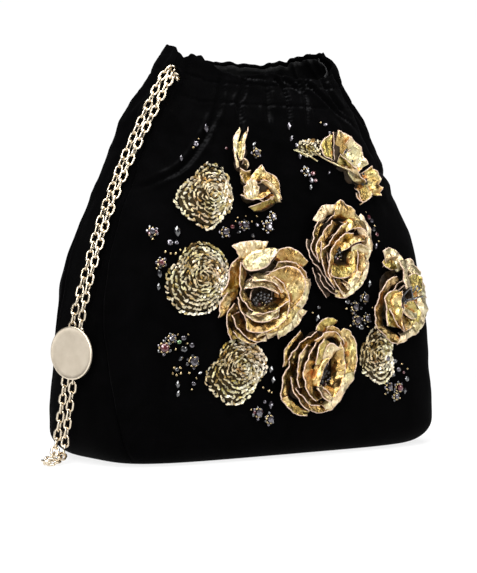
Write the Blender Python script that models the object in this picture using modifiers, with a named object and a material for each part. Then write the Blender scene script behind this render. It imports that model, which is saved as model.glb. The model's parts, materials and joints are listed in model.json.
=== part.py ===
"""Velvet drawstring pouch (potli bag): gathered neck with a metal chain
drawstring, a round slider medallion, and appliqued roses, blossoms and
crystal clusters on the front.

Metres, +Z up, front towards -Y, wearer's chain side towards -X.
The origin is the middle of the base, on the surface the pouch stands on.
"""
import math

import bmesh
import bpy
import numpy as np
from mathutils import Matrix, Vector

for old in list(bpy.data.objects):
    bpy.data.objects.remove(old, do_unlink=True)

# --------------------------------------------------------------------------
# driving sizes
# --------------------------------------------------------------------------
BASE_ROUND = 0.016        # rounding between the base and the walls
CLOTH = 0.0020            # velvet with its interlining
GAP = 0.0003              # gap kept between pieces that touch
LINING = 0.0008
NECK_PLEAT = 0.0036       # depth of the gathers at the drawn neck

# cross sections: height, half width, half depth, squareness
SECTIONS = (
    (0.000, 0.1250, 0.0605, 4.4),
    (0.028, 0.1268, 0.0616, 4.2),
    (0.055, 0.1262, 0.0613, 3.9),
    (0.083, 0.1245, 0.0606, 3.6),
    (0.110, 0.1215, 0.0598, 3.3),
    (0.137, 0.1142, 0.0576, 3.0),
    (0.165, 0.1026, 0.0539, 2.7),
    (0.188, 0.0934, 0.0500, 2.5),
    (0.211, 0.0840, 0.0457, 2.3),
    (0.231, 0.0711, 0.0391, 2.2),
    (0.243, 0.0648, 0.0359, 2.2),
    (0.256, 0.0559, 0.0313, 2.2),
)

# height of the gathered rim round the neck: low in front, two ears on the
# left with a notch between them, one broad ear on the right
RIM = ((0.05, 0.2390), (0.12, 0.2345), (0.25, 0.2334), (0.38, 0.2358), (0.46, 0.2356),
       (0.58, 0.2336), (0.72, 0.2334), (0.86, 0.2348), (1.00, 0.2395), (1.10, 0.2440),
       (1.20, 0.2495), (1.32, 0.2538), (1.46, 0.2554), (1.62, 0.2553), (1.83, 0.2540),
       (1.92, 0.2508), (2.00, 0.2520), (2.12, 0.2490), (2.36, 0.2495), (2.60, 0.2490),
       (2.80, 0.2490), (3.00, 0.2497), (3.18, 0.2522), (3.30, 0.2545), (3.48, 0.2542),
       (3.60, 0.2515), (3.70, 0.2478), (3.78, 0.2440), (3.82, 0.2466), (3.93, 0.2447))
CASING_FRONT, CASING_BACK, CASING_EAR = 0.2215, 0.2320, 0.0085
CHAIN_DEPTH = 0.0070      # casing chain centre, inwards from the smooth neck
CHAIN_D = 0.0050          # over the links
STRAND_GAP = 0.0062       # between the two hanging strands
EXIT_U, EXIT_Z, EXIT_R = 3.742, 0.2335, 0.0072

MEDAL_D, MEDAL_T = 0.0315, 0.0018
SLEEVE_W, SLEEVE_D, SLEEVE_H, SLEEVE_WALL = 0.0142, 0.0074, 0.0100, 0.0008
MEDAL_TURN = math.radians(20.0)
SLIDE_TOP = Vector((-0.1310, -0.0109, 0.0800))     # two points on the straight
SLIDE_FOOT = Vector((-0.1342, 0.0005, 0.0180))     # stretch of the strands
MEDAL_Z = 0.0666
MEDAL_SHIFT = 0.0036      # the disc sits this far to the front of its sleeve
POST = 0.0008
LOOP_TIP = Vector((-0.1545, -0.0165, 0.0))

# gathers: segment coordinate of each valley at the neck, all the way round
VALLEYS = (0.108, 0.246, 0.385, 0.508, 0.665, 0.835,
           1.04, 1.30, 1.56, 1.82,
           2.06, 2.22, 2.38, 2.54, 2.70, 2.86,
           3.05, 3.27, 3.53, 3.88)

# --------------------------------------------------------------------------
# the wall of the pouch as a surface S(u, v)
#   u: 0..1 front, 1..2 right side, 2..3 back, 3..4 left side
#   v: length up the wall, starting under the base
# --------------------------------------------------------------------------
QUARTER = BASE_ROUND * math.pi / 2


def height(v):
    if v < QUARTER:
        return BASE_ROUND * (1 - math.cos(v / BASE_ROUND))
    return BASE_ROUND + v - QUARTER


def v_at(z):
    if z < BASE_ROUND:
        return BASE_ROUND * math.acos(1 - z / BASE_ROUND)
    return QUARTER + z - BASE_ROUND


def section(z):
    rows = SECTIONS
    z = min(max(z, rows[0][0]), rows[-1][0])
    i = max(k for k in range(len(rows) - 1) if rows[k][0] <= z)
    p = [rows[max(i - 1, 0)], rows[i], rows[i + 1], rows[min(i + 2, len(rows) - 1)]]
    h = p[2][0] - p[1][0]
    t = (z - p[1][0]) / h
    out = []
    for c in (1, 2, 3):
        m1 = (p[2][c] - p[0][c]) / (p[2][0] - p[0][0]) * h
        m2 = (p[3][c] - p[1][c]) / (p[3][0] - p[1][0]) * h
        out.append((2 * t**3 - 3 * t**2 + 1) * p[1][c] + (t**3 - 2 * t**2 + t) * m1
                   + (3 * t**2 - 2 * t**3) * p[2][c] + (t**3 - t**2) * m2)
    return out


RING_N = 160


def ring(v, inset=0.0):
    """Quarter by quarter, points even in length along the section at v."""
    z = height(v)
    a, b, n = section(z)
    if v < QUARTER:
        inset += BASE_ROUND * (1 - math.sin(v / BASE_ROUND))
    a, b = a - inset, b - inset
    parts = []
    for k in range(4):
        ph = np.radians(np.linspace(225 + 90 * k, 315 + 90 * k, RING_N + 1))
        c, s = np.cos(ph), np.sin(ph)
        x = a * np.sign(c) * np.abs(c) ** (2 / n)
        y = b * np.sign(s) * np.abs(s) ** (2 / n)
        d = np.concatenate([[0], np.cumsum(np.hypot(np.diff(x), np.diff(y)))])
        parts.append((d, x, y))
    return z, parts


V_STEPS = 220
V_MAX = v_at(SECTIONS[-1][0])
TABLE = [ring(V_MAX * j / V_STEPS) for j in range(V_STEPS + 1)]


def smooth_point(u, v):
    """Point of the smooth wall, without gathers."""
    f = min(max(v / V_MAX, 0.0), 1.0) * V_STEPS
    j = min(int(f), V_STEPS - 1)
    t = f - j
    k = int(math.floor(u))
    w = u - k
    k %= 4
    out = []
    for jj in (j, j + 1):
        z, parts = TABLE[jj]
        d, x, y = parts[k]
        out.append(Vector((np.interp(w * d[-1], d, x), np.interp(w * d[-1], d, y), z)))
    return out[0].lerp(out[1], t)


def side_length(k, v):
    f = int(min(max(v / V_MAX, 0.0), 1.0) * V_STEPS)
    return TABLE[f][1][k % 4][0][-1]


def normal(u, v):
    e = 0.0012
    du = e / side_length(int(math.floor(u)), v)
    a = smooth_point(u + du, v) - smooth_point(u - du, v)
    v0, v1 = max(v - e, 0.0), min(v + e, V_MAX)
    b = smooth_point(u, v1) - smooth_point(u, v0)
    n = a.cross(b)
    if v < 1e-6:
        n = Vector((0, 0, -1))
    return n.normalized()


def ease(x):
    x = min(max(x, 0.0), 1.0)
    return x * x * (3 - 2 * x)


def back_share(u):
    return (1 - math.cos(math.pi / 2 * (u - 0.5))) / 2


def ear(u):
    u = u % 4
    return math.exp(-((u - 3.62) / 0.25) ** 2) + 0.93 * math.exp(-((u - 1.40) / 0.25) ** 2)


def rim_height(u):
    us = [RIM[-1][0] - 4] + [q for q, _ in RIM] + [RIM[0][0] + 4]
    zs = [RIM[-1][1]] + [z for _, z in RIM] + [RIM[0][1]]
    return float(np.interp((u - RIM[0][0]) % 4 + RIM[0][0], us, zs))


def casing_height(u):
    return (CASING_FRONT + (CASING_BACK - CASING_FRONT) * back_share(u)
            + CASING_EAR * ear(u))


def gather_phase(u):
    u = u % 4
    ext = (VALLEYS[-1] - 4,) + VALLEYS + (VALLEYS[0] + 4,)
    return float(np.interp(u, ext, range(-1, len(VALLEYS) + 1)))


def gather(u, v):
    """Outward push of the gathers; deepest at the casing, gone at mid height."""
    z = height(v)
    rise = ease((z - 0.165) / 0.055)
    return NECK_PLEAT * rise * (abs(math.sin(math.pi * gather_phase(u))) - 0.5)


def wall(u, v, out=0.0):
    return smooth_point(u, v) + normal(u, v) * (gather(u, v) + out)


# --------------------------------------------------------------------------
# helpers
# --------------------------------------------------------------------------
pouch = bpy.data.collections.new("potli_bag")
bpy.context.scene.collection.children.link(pouch)
tools = bpy.data.collections.new("cutters")
bpy.context.scene.collection.children.link(tools)


def material(name, colour, rough, metal=0.0):
    m = bpy.data.materials.new(name)
    m.use_nodes = True
    p = m.node_tree.nodes["Principled BSDF"]
    p.inputs["Base Color"].default_value = (*colour, 1.0)
    p.inputs["Roughness"].default_value = rough
    p.inputs["Metallic"].default_value = metal
    return m


VELVET = (0.006, 0.006, 0.007)
GOLD_LEATHER = (0.42, 0.30, 0.15)
PALE_GOLD = (0.63, 0.55, 0.42)


def finish(obj, mat, flat=False):
    obj.data.materials.clear()
    obj.data.materials.append(mat)
    if obj.type == "MESH":
        if flat:
            obj.data.shade_flat()
        else:
            obj.data.shade_smooth()
            obj.data.set_sharp_from_angle(angle=math.radians(38))
    return obj


def mesh_object(name, verts, faces, mat, flat=False, coll=None):
    me = bpy.data.meshes.new(name)
    me.from_pydata([tuple(p) for p in verts], [], faces)
    bm = bmesh.new()
    bm.from_mesh(me)
    bmesh.ops.recalc_face_normals(bm, faces=bm.faces)
    bm.to_mesh(me)
    bm.free()
    obj = bpy.data.objects.new(name, me)
    (coll or pouch).objects.link(obj)
    return finish(obj, mat, flat)


def loft_between(name, outer, inner, mat, closed=False):
    """Solid between two grids of the same size; closed joins the columns."""
    rows, cols = len(outer), len(outer[0])
    verts = [p for r in outer for p in r] + [p for r in inner for p in r]
    half = rows * cols

    def o(r, c):
        return r * cols + c % cols

    faces = []
    last = cols if closed else cols - 1
    for r in range(rows - 1):
        for c in range(last):
            q = (o(r, c), o(r, c + 1), o(r + 1, c + 1), o(r + 1, c))
            faces.append(q)
            faces.append(tuple(half + i for i in reversed(q)))
    for c in range(last):
        faces.append((o(0, c), half + o(0, c), half + o(0, c + 1), o(0, c + 1)))
        faces.append((o(rows - 1, c + 1), half + o(rows - 1, c + 1),
                      half + o(rows - 1, c), o(rows - 1, c)))
    if not closed:
        for r in range(rows - 1):
            faces.append((o(r + 1, 0), half + o(r + 1, 0), half + o(r, 0), o(r, 0)))
            faces.append((o(r, cols - 1), half + o(r, cols - 1),
                          half + o(r + 1, cols - 1), o(r + 1, cols - 1)))
    return mesh_object(name, verts, faces, mat)


def spaced(n, bias):
    """0..1 in n steps, closer together at both ends."""
    return [(1 - bias) * i / n + bias * (0.5 - 0.5 * math.cos(math.pi * i / n))
            for i in range(n + 1)]


# --------------------------------------------------------------------------
# cloth: four wall panels, the base, its board and the lining
# --------------------------------------------------------------------------
ROUND_ROWS, WALL_ROWS = 4, 14
PANEL_COLS = {0: 24, 1: 6, 2: 14, 3: 6}


def panel_rows(u):
    top = v_at(rim_height(u))
    rows = [QUARTER * i / ROUND_ROWS for i in range(ROUND_ROWS)]
    for t in [i / WALL_ROWS for i in range(WALL_ROWS + 1)]:
        rows.append(QUARTER + (top - QUARTER) * (1.12 * t - 0.12 * t * t))
    return rows


def seam_shift(v):
    """How far the seams sit into the sides from the corners, in u."""
    return 0.10 + 0.19 * ease((height(v) + 0.010) / 0.110)


def panel_us(k, v):
    """Segment coordinates of one panel's columns at v, seam to seam."""
    lean = seam_shift(v) * (1 if k % 2 == 0 else -1)
    return [k - lean + w * (1 + 2 * lean) for w in spaced(PANEL_COLS[k], 0.30)]


def panel_grid(k, inwards):
    grid = []
    for r in range(ROUND_ROWS + WALL_ROWS + 1):
        v_mid = panel_rows(k + 0.5)[r]
        line = []
        us = panel_us(k, v_mid)
        for i in range(len(us)):
            v = panel_rows(us[i])[r]
            u = panel_us(k, v)[i]
            trim = 0.5 * GAP / side_length(int(math.floor(u)), v)
            if i == 0:
                u += trim
            elif i == len(us) - 1:
                u -= trim
            line.append(wall(u, v, -inwards))
        grid.append(line)
    return grid


PANELS = (("front_panel", 0), ("right_gusset", 1), ("back_panel", 2), ("left_gusset", 3))
velvet_panel = {}
for name, k in PANELS:
    velvet_panel[name] = loft_between(name, panel_grid(k, 0.0), panel_grid(k, CLOTH),
                                      material("velvet_" + name, VELVET, 0.9))

# opening in the left side that the chain comes out of
exit_v = v_at(EXIT_Z)
exit_point = smooth_point(EXIT_U, exit_v)
exit_normal = normal(EXIT_U, exit_v)
bpy.ops.mesh.primitive_cylinder_add(vertices=14, radius=EXIT_R, depth=0.011,
                                    location=exit_point)
hole = bpy.context.object
hole.name = "chain_opening_cutter"
hole.rotation_euler = exit_normal.to_track_quat("Z", "Y").to_euler()
for c in list(hole.users_collection):
    c.objects.unlink(hole)
tools.objects.link(hole)
hole.hide_render = True
hole.display_type = "WIRE"
for name in ("left_gusset", "front_panel"):          # it sits on their seam
    cut = velvet_panel[name].modifiers.new("chain_opening", "BOOLEAN")
    cut.operation = "DIFFERENCE"
    cut.solver = "EXACT"
    cut.object = hole


def base_outline(inset):
    """The ring where the walls turn under, with the panels' own columns."""
    z, parts = ring(0.0, inset)
    pts = []
    for k in range(4):
        for u in panel_us(k, 0.0)[:-1]:
            q = int(math.floor(u))
            d, x, y = parts[q % 4]
            pts.append((np.interp((u - q) * d[-1], d, x), np.interp((u - q) * d[-1], d, y)))
    return pts


def plate(name, pts, z0, z1, mat):
    n = len(pts)
    verts = [(x, y, z0) for x, y in pts] + [(x, y, z1) for x, y in pts]
    faces = [tuple(reversed(range(n))), tuple(range(n, 2 * n))]
    faces += [(i, (i + 1) % n, n + (i + 1) % n, n + i) for i in range(n)]
    return mesh_object(name, verts, faces, mat)


plate("base_panel", base_outline(GAP), 0.0, CLOTH, material("velvet_base", VELVET, 0.9))
plate("base_board", base_outline(0.0022), CLOTH + GAP, CLOTH + GAP + 0.0015,
      material("stiff_board", (0.25, 0.22, 0.18), 0.8))

LINING_COLS = 28
pleat_floor = CLOTH + NECK_PLEAT / 2 + GAP + 0.0002      # clear of every valley


def lining_line(level, extra):
    """One ring of the lining; level is its place up the wall."""
    line = []
    for i in range(LINING_COLS):
        u = 4.0 * i / LINING_COLS
        rim, cas = v_at(rim_height(u)), v_at(casing_height(u))
        v, depth = {
            "heel": (QUARTER * 0.45, 0.0036),
            "low": (QUARTER * 1.0, 0.0030),
            "belly": (QUARTER + 0.33 * (cas - QUARTER), CLOTH + GAP + 0.0006),
            "waist": (QUARTER + 0.66 * (cas - QUARTER), CLOTH + GAP + 0.0006),
            "shoulder": (cas - 0.0125, pleat_floor),
            "under": (cas - 0.0050, CHAIN_DEPTH + CHAIN_D / 2 + GAP + 0.0003),
            "over": (cas + 0.0050, CHAIN_DEPTH + CHAIN_D / 2 + GAP + 0.0003),
            "above": (cas + 0.0085, pleat_floor),
            "top": (rim - 0.0012, pleat_floor),
        }[level]
        line.append(smooth_point(u, v) - normal(u, v) * (depth + extra))
    return line


LEVELS = ("heel", "low", "belly", "waist", "shoulder", "under", "over", "above", "top")
outer = [lining_line(lv, 0.0) for lv in LEVELS]
inner = [lining_line(lv, LINING) for lv in LEVELS]
floor_z = CLOTH + GAP + 0.0015 + GAP
foot_o = [Vector((p.x * 0.93, p.y * 0.88, floor_z)) for p in outer[0]]
foot_i = [Vector((p.x * 0.93, p.y * 0.88, floor_z + LINING)) for p in outer[0]]
grid_o, grid_i = [foot_o] + outer, [foot_i] + inner
rows, n = len(grid_o), LINING_COLS
verts = [p for r in grid_o for p in r] + [p for r in grid_i for p in r]
half = rows * n
faces = [tuple(reversed(range(n))), tuple(range(half, half + n))]
for r in range(rows - 1):
    for c in range(n):
        q = (r * n + c, r * n + (c + 1) % n, (r + 1) * n + (c + 1) % n, (r + 1) * n + c)
        faces += [q, tuple(half + i for i in reversed(q))]
for c in range(n):
    a, b = (rows - 1) * n + c, (rows - 1) * n + (c + 1) % n
    faces.append((b, half + b, half + a, a))
mesh_object("lining", verts, faces, material("satin_lining", (0.012, 0.012, 0.013), 0.5))

# --------------------------------------------------------------------------
# drawstring chain
# --------------------------------------------------------------------------
BEND_STEP = math.radians(34)


def spline(points, step):
    """Smooth curve through points (centripetal), read at even lengths."""
    p = [Vector(q) for q in points]
    p = [p[0] * 2 - p[1]] + p + [p[-1] * 2 - p[-2]]
    dense = []
    for i in range(1, len(p) - 2):
        t = [0.0]
        for j in range(3):
            t.append(t[-1] + max((p[i + j] - p[i + j - 1]).length, 1e-9) ** 0.5)
        for s in range(24):
            x = t[1] + (t[2] - t[1]) * s / 24
            a1 = p[i - 1] * ((t[1] - x) / (t[1] - t[0])) + p[i] * ((x - t[0]) / (t[1] - t[0]))
            a2 = p[i] * ((t[2] - x) / (t[2] - t[1])) + p[i + 1] * ((x - t[1]) / (t[2] - t[1]))
            a3 = p[i + 1] * ((t[3] - x) / (t[3] - t[2])) + p[i + 2] * ((x - t[2]) / (t[3] - t[2]))
            b1 = a1 * ((t[2] - x) / (t[2] - t[0])) + a2 * ((x - t[0]) / (t[2] - t[0]))
            b2 = a2 * ((t[3] - x) / (t[3] - t[1])) + a3 * ((x - t[1]) / (t[3] - t[1]))
            dense.append(b1 * ((t[2] - x) / (t[2] - t[1])) + b2 * ((x - t[1]) / (t[2] - t[1])))
    dense.append(p[-2])
    # points every step along the curve, and closer together in the bends
    xyz = np.array([tuple(q) for q in dense])
    legs = np.diff(xyz, axis=0)
    size = np.linalg.norm(legs, axis=1)
    unit = legs / np.maximum(size, 1e-9)[:, None]
    bend = np.arccos(np.clip((unit[1:] * unit[:-1]).sum(axis=1), -1, 1))
    bend = np.concatenate([[0], (bend + np.roll(bend, -1)) / 2])
    cost = np.concatenate([[0], np.cumsum(size / step + bend / BEND_STEP)])
    count = max(int(round(cost[-1])), 2)
    at = np.linspace(0, cost[-1], count + 1)
    return [Vector([np.interp(c, cost, xyz[:, k]) for k in range(3)]) for c in at]


def tube(name, pts, diameter, mat, sides=2):
    cu = bpy.data.curves.new(name, "CURVE")
    cu.dimensions = "3D"
    cu.bevel_depth = diameter / 2
    cu.bevel_resolution = sides
    cu.use_fill_caps = True
    sp = cu.splines.new("POLY")
    sp.points.add(len(pts) - 1)
    for q, co in zip(sp.points, pts):
        q.co = (*co, 1.0)
    obj = bpy.data.objects.new(name, cu)
    pouch.objects.link(obj)
    cu.materials.append(mat)
    return obj


def across(v):
    """Direction from the middle of the two strands to the rear one."""
    d = Vector((-math.sin(MEDAL_TURN), math.cos(MEDAL_TURN), 0))
    return d


slide_dir = (SLIDE_TOP - SLIDE_FOOT).normalized()


def on_slide(z):
    return SLIDE_FOOT + slide_dir * ((z - SLIDE_FOOT.z) / slide_dir.z)


# middle line of the pair, from the opening down the side to the floor
STAND = CHAIN_D / 2 + 0.0009
down = []
for u, z, side in ((3.735, 0.2300, 0.0012), (3.730, 0.2200, 0.0014), (3.722, 0.2080, 0.0012),
                   (3.690, 0.1950, 0.0008), (3.658, 0.1800, 0.0006), (3.636, 0.1620, 0.0006),
                   (3.640, 0.1410, 0.0008), (3.634, 0.1170, 0.0012)):
    v = v_at(z)
    down.append((smooth_point(u, v) + normal(u, v) * (STAND + side + NECK_PLEAT / 2 * ease((z - 0.165) / 0.055)),
                 (smooth_point(u + 0.02, v) - smooth_point(u - 0.02, v)).normalized() * -1))
mid = [(on_slide(z), across(z)) for z in (0.0900, 0.0760, 0.0620, 0.0480, 0.0340, 0.0200)]
foot = on_slide(0.0120)
reach = Vector((LOOP_TIP.x - foot.x, LOOP_TIP.y - foot.y, 0))
reach_dir = reach.normalized()
floor_side = Vector((-reach_dir.y, reach_dir.x, 0))
if floor_side.y < 0:
    floor_side = -floor_side
lie_z = CHAIN_D / 2 + 0.0003
run = [(foot + Vector((0, 0, 0)) + reach_dir * 0.0006, (across(0) + floor_side * 0.3).normalized()),
       (Vector((foot.x, foot.y, 0.0062)) + reach_dir * 0.0030, (across(0) + floor_side).normalized()),
       (Vector((foot.x, foot.y, lie_z + 0.0006)) + reach_dir * 0.0085, floor_side),
       (Vector((foot.x, foot.y, lie_z)) + reach_dir * 0.0150, floor_side)]
half_gap = STRAND_GAP / 2
tip_mid = Vector((LOOP_TIP.x, LOOP_TIP.y, lie_z)) - reach_dir * (half_gap + CHAIN_D / 2)

hole_out = exit_point + exit_normal * (STAND + 0.0008)
exit_side = Vector((0.00, 0.62, 0.79)).normalized()
route = [(exit_point - exit_normal * 0.0006, exit_side), (hole_out, exit_side)] + down + mid + run
rear = [c + s * half_gap for c, s in route]
fore = [c - s * half_gap for c, s in route]
turn = [tip_mid + floor_side * half_gap * math.cos(a) + reach_dir * half_gap * math.sin(a)
        for a in [math.pi * i / 6 for i in range(7)]]
drop_points = rear + turn + list(reversed(fore))
chain_mat = material("pale_gold_chain", PALE_GOLD, 0.3, 1.0)
loop = spline(drop_points, 0.0190)
tube("chain_drop", loop, CHAIN_D, chain_mat)

# the part of the chain inside the casing, from one strand round to the other
start_rear = exit_point - exit_normal * 0.0012 + exit_side * half_gap
start_fore = exit_point - exit_normal * 0.0012 - exit_side * half_gap
around = []
steps = 40
for i in range(1, steps):
    u = EXIT_U - 0.09 - 3.82 * (i - 1) / (steps - 2)
    rise = 0.0030 * math.exp(-(4 * i / steps) ** 2 * 6) - 0.0030 * math.exp(-(4 * (steps - i) / steps) ** 2 * 6)
    v = v_at(casing_height(u) + rise)
    around.append(smooth_point(u, v) - normal(u, v) * CHAIN_DEPTH)
held = spline([start_rear, start_rear - exit_normal * 0.0042] + around
              + [start_fore - exit_normal * 0.0042, start_fore], 0.0220)
tube("chain_in_casing", held, CHAIN_D, chain_mat)

# --------------------------------------------------------------------------
# slider: medallion on a flat sleeve that both strands run through
# --------------------------------------------------------------------------
slider_mat = material("satin_gold_medallion", (0.69, 0.58, 0.43), 0.35, 1.0)
facing = Vector((-math.cos(MEDAL_TURN), -math.sin(MEDAL_TURN), 0))
facing = (facing - slide_dir * facing.dot(slide_dir)).normalized()
side_dir = slide_dir.cross(facing).normalized()
slider_frame = Matrix((side_dir, slide_dir, facing)).transposed().to_4x4()
slider_frame.translation = on_slide(MEDAL_Z)
slider_origin = bpy.data.objects.new("slider_origin", None)
slider_origin.matrix_world = slider_frame
pouch.objects.link(slider_origin)


def rounded_box(name, w, d, h, r, mat, keep=True):
    bm = bmesh.new()
    bmesh.ops.create_cube(bm, size=1.0, matrix=Matrix.Diagonal((w, h, d, 1.0)))
    edges = [e for e in bm.edges
             if abs((e.verts[0].co - e.verts[1].co).normalized().y) > 0.9]
    bmesh.ops.bevel(bm, geom=edges, offset=r, segments=3, affect="EDGES", profile=0.5)
    me = bpy.data.meshes.new(name)
    bm.to_mesh(me)
    bm.free()
    obj = bpy.data.objects.new(name, me)
    (pouch if keep else tools).objects.link(obj)
    obj.parent = slider_origin
    if keep:
        finish(obj, mat)
    else:
        obj.hide_render = True
        obj.display_type = "WIRE"
    return obj


sleeve = rounded_box("slider_sleeve", SLEEVE_W, SLEEVE_D, SLEEVE_H, 0.0034, slider_mat)
bore = rounded_box("sleeve_cutter", SLEEVE_W - 2 * SLEEVE_WALL, SLEEVE_D - 2 * SLEEVE_WALL,
                   SLEEVE_H + 0.004, 0.0027, slider_mat, keep=False)
m = sleeve.modifiers.new("bore", "BOOLEAN")
m.operation = "DIFFERENCE"
m.solver = "EXACT"
m.object = bore

# medallion: turned disc with a softly rolled rim
prof = [(0.0, 0.0), (MEDAL_D / 2 - 0.0007, 0.0), (MEDAL_D / 2, 0.0005),
        (MEDAL_D / 2, MEDAL_T - 0.0005), (MEDAL_D / 2 - 0.0005, MEDAL_T),
        (MEDAL_D / 2 - 0.0013, MEDAL_T), (MEDAL_D / 2 - 0.0018, MEDAL_T - 0.0003),
        (0.0, MEDAL_T - 0.0003)]
me = bpy.data.meshes.new("medallion_disc")
me.from_pydata([(r, 0, z) for r, z in prof], [], [(i, i + 1) for i in range(len(prof) - 1)])
disc = bpy.data.objects.new("medallion_disc", me)
pouch.objects.link(disc)
disc.parent = slider_origin
disc.location = (MEDAL_SHIFT, 0, SLEEVE_D / 2 + GAP + POST + GAP)
sc = disc.modifiers.new("turn", "SCREW")
sc.axis = "Z"
sc.steps = sc.render_steps = 32
sc.use_merge_vertices = True
sc.merge_threshold = 0.00005
finish(disc, slider_mat)

# two short posts carry the medallion on the sleeve
for side, sx in (("left", -1), ("right", 1)):
    bm = bmesh.new()
    bmesh.ops.create_cone(bm, cap_ends=True, segments=12, radius1=0.0013, radius2=0.0013,
                          depth=POST)
    me = bpy.data.meshes.new("medallion_post_" + side)
    bm.to_mesh(me)
    bm.free()
    post = bpy.data.objects.new("medallion_post_" + side, me)
    pouch.objects.link(post)
    post.parent = slider_origin
    post.location = (sx * 0.0032, 0, SLEEVE_D / 2 + GAP + POST / 2)
    finish(post, slider_mat)

# --------------------------------------------------------------------------
# appliques on the front, laid out in s (along the front from its middle)
# and z (height); each follows the wall beneath it
# --------------------------------------------------------------------------
def wall_at(s, z, out):
    v = v_at(z)
    front = side_length(0, v)
    if abs(s) <= front / 2:
        u = 0.5 + s / front
    elif s > 0:
        u = 1.0 + (s - front / 2) / side_length(1, v)
    else:
        u = -(-s - front / 2) / side_length(3, v)
    return smooth_point(u, v) + normal(u, v) * (max(gather(u, v), 0.0) + out)


def s_of(u, z):
    v = v_at(z)
    if 0 <= u <= 1:
        return (u - 0.5) * side_length(0, v)
    if u > 1:
        return side_length(0, v) / 2 + (u - 1) * side_length(1, v)
    return -side_length(0, v) / 2 + u * side_length(3, v)


# name: place (u, z), half width, half height, height off the cloth, kind, turn
APPLIQUES = (
    ("rose_centre", 0.357, 0.1000, 0.0315, 0.0315, 0.0150, "rose", 0.2),
    ("rose_upper", 0.656, 0.1262, 0.0262, 0.0300, 0.0140, "rose", 1.1),
    ("rose_lower", 0.549, 0.0560, 0.0290, 0.0285, 0.0150, "rose", 2.3),
    ("rose_side", 0.905, 0.0972, 0.0245, 0.0290, 0.0130, "rose", 3.0),
    ("rose_bud", 0.339, 0.1640, 0.0150, 0.0145, 0.0110, "rose", 0.9),
    ("rose_tall_bud", 0.233, 0.1885, 0.0080, 0.0125, 0.0100, "rose", 0.4),
    ("rose_shoulder", 0.855, 0.1790, 0.0190, 0.0220, 0.0130, "rose", 4.0),
    ("blossom_upper", 0.108, 0.1596, 0.0208, 0.0198, 0.0050, "blossom", 0.5),
    ("blossom_middle", 0.125, 0.1093, 0.0228, 0.0220, 0.0050, "blossom", 2.356),
    ("blossom_lower", 0.265, 0.0536, 0.0225, 0.0200, 0.0050, "blossom", 2.2),
    ("blossom_side", 0.775, 0.0600, 0.0175, 0.0185, 0.0050, "blossom", 0.2),
    ("blossom_shoulder", 0.590, 0.1896, 0.0110, 0.0070, 0.0045, "blossom", 0.7),
)
PLACED = [(a[0], s_of(a[1], a[2]), a[2], *a[3:]) for a in APPLIQUES]


def reach_at(item, ang):
    """Outline of one applique, held back where a neighbour begins."""
    name, s0, z0, hw, hh, lift, kind, turn_ = item
    c, sn = math.cos(ang), math.sin(ang)
    lobes = 5 if kind == "rose" else 3
    depth = 0.05 if kind == "rose" else 0.13
    r = 1.0 / math.sqrt((c / hw) ** 2 + (sn / hh) ** 2)
    r *= 1 + depth * (math.cos(lobes * ang + turn_) - 0.4)
    for other in PLACED:
        if other[0] == name:
            continue
        dx, dz = other[1] - s0, other[2] - z0
        dist = math.hypot(dx, dz)
        ex, ez = dx / dist, dz / dist
        mine = 1.0 / math.sqrt((ex / hw) ** 2 + (ez / hh) ** 2)
        its = 1.0 / math.sqrt((ex / other[3]) ** 2 + (ez / other[4]) ** 2)
        if mine + its + 0.004 < dist:
            continue
        border = dist * mine / (mine + its) - 0.0004
        along = c * ex + sn * ez
        if along > 1e-6:
            r = min(r, border / along)
    return r


def applique(item, mat):
    name, s0, z0, hw, hh, lift, kind, turn_ = item
    big = hw > 0.02
    if kind == "rose":
        nth, nr = (20, 8) if big else (14, 5)
    else:
        nth, nr = (18, 5) if big else (12, 3)
    angles = [2 * math.pi * i / nth for i in range(nth)]
    top, under = [], []
    for j in range(1, nr + 1):
        f = j / nr
        ring_t = []
        for a in angles:
            r = reach_at(item, a) * f
            if kind == "rose":
                spiral = (f * 3.2 - a / (2 * math.pi) - turn_) % 1.0
                dome = math.sqrt(max(1 - (0.82 * f) ** 2, 0)) * (0.72 + 0.28 * spiral)
                h = lift * (0.28 + 0.72 * dome) * (1 if f < 0.99 else 0.55)
            else:
                h = lift * (0.55 + 0.45 * math.cos(f * math.pi / 2)) * (0.85 + 0.15 * math.cos(3 * a + turn_))
            ring_t.append(wall_at(s0 + r * math.cos(a), z0 + r * math.sin(a), h))
        top.append(ring_t)
    for f in (1.0, 0.5):
        under.append([wall_at(s0 + reach_at(item, a) * f * math.cos(a),
                              z0 + reach_at(item, a) * f * math.sin(a), GAP + 0.0003) for a in angles])
    verts = [wall_at(s0, z0, lift * (0.80 if kind == "rose" else 1.0))]
    for line in top:
        verts += line
    base_i = len(verts)
    for line in under:
        verts += line
    end = len(verts)
    verts.append(wall_at(s0, z0, GAP + 0.0003))
    faces = []
    for i in range(nth):
        k = (i + 1) % nth
        faces.append((0, 1 + i, 1 + k))
        for j in range(nr - 1):
            a0, b0 = 1 + j * nth, 1 + (j + 1) * nth
            faces.append((a0 + i, b0 + i, b0 + k, a0 + k))
        a0 = 1 + (nr - 1) * nth
        faces.append((a0 + i, base_i + i, base_i + k, a0 + k))
        faces.append((base_i + i, base_i + nth + i, base_i + nth + k, base_i + k))
        faces.append((base_i + nth + i, end, base_i + nth + k))
    return mesh_object(name, verts, faces, mat)


for item in PLACED:
    colour = GOLD_LEATHER if item[6] == "rose" else (0.30, 0.25, 0.16)
    applique(item, material("gold_" + item[0], colour, 0.4, 0.6))

# --------------------------------------------------------------------------
# crystal clusters: faceted beads that touch, one sewn group each
# --------------------------------------------------------------------------
BEAD = 0.0030
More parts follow.
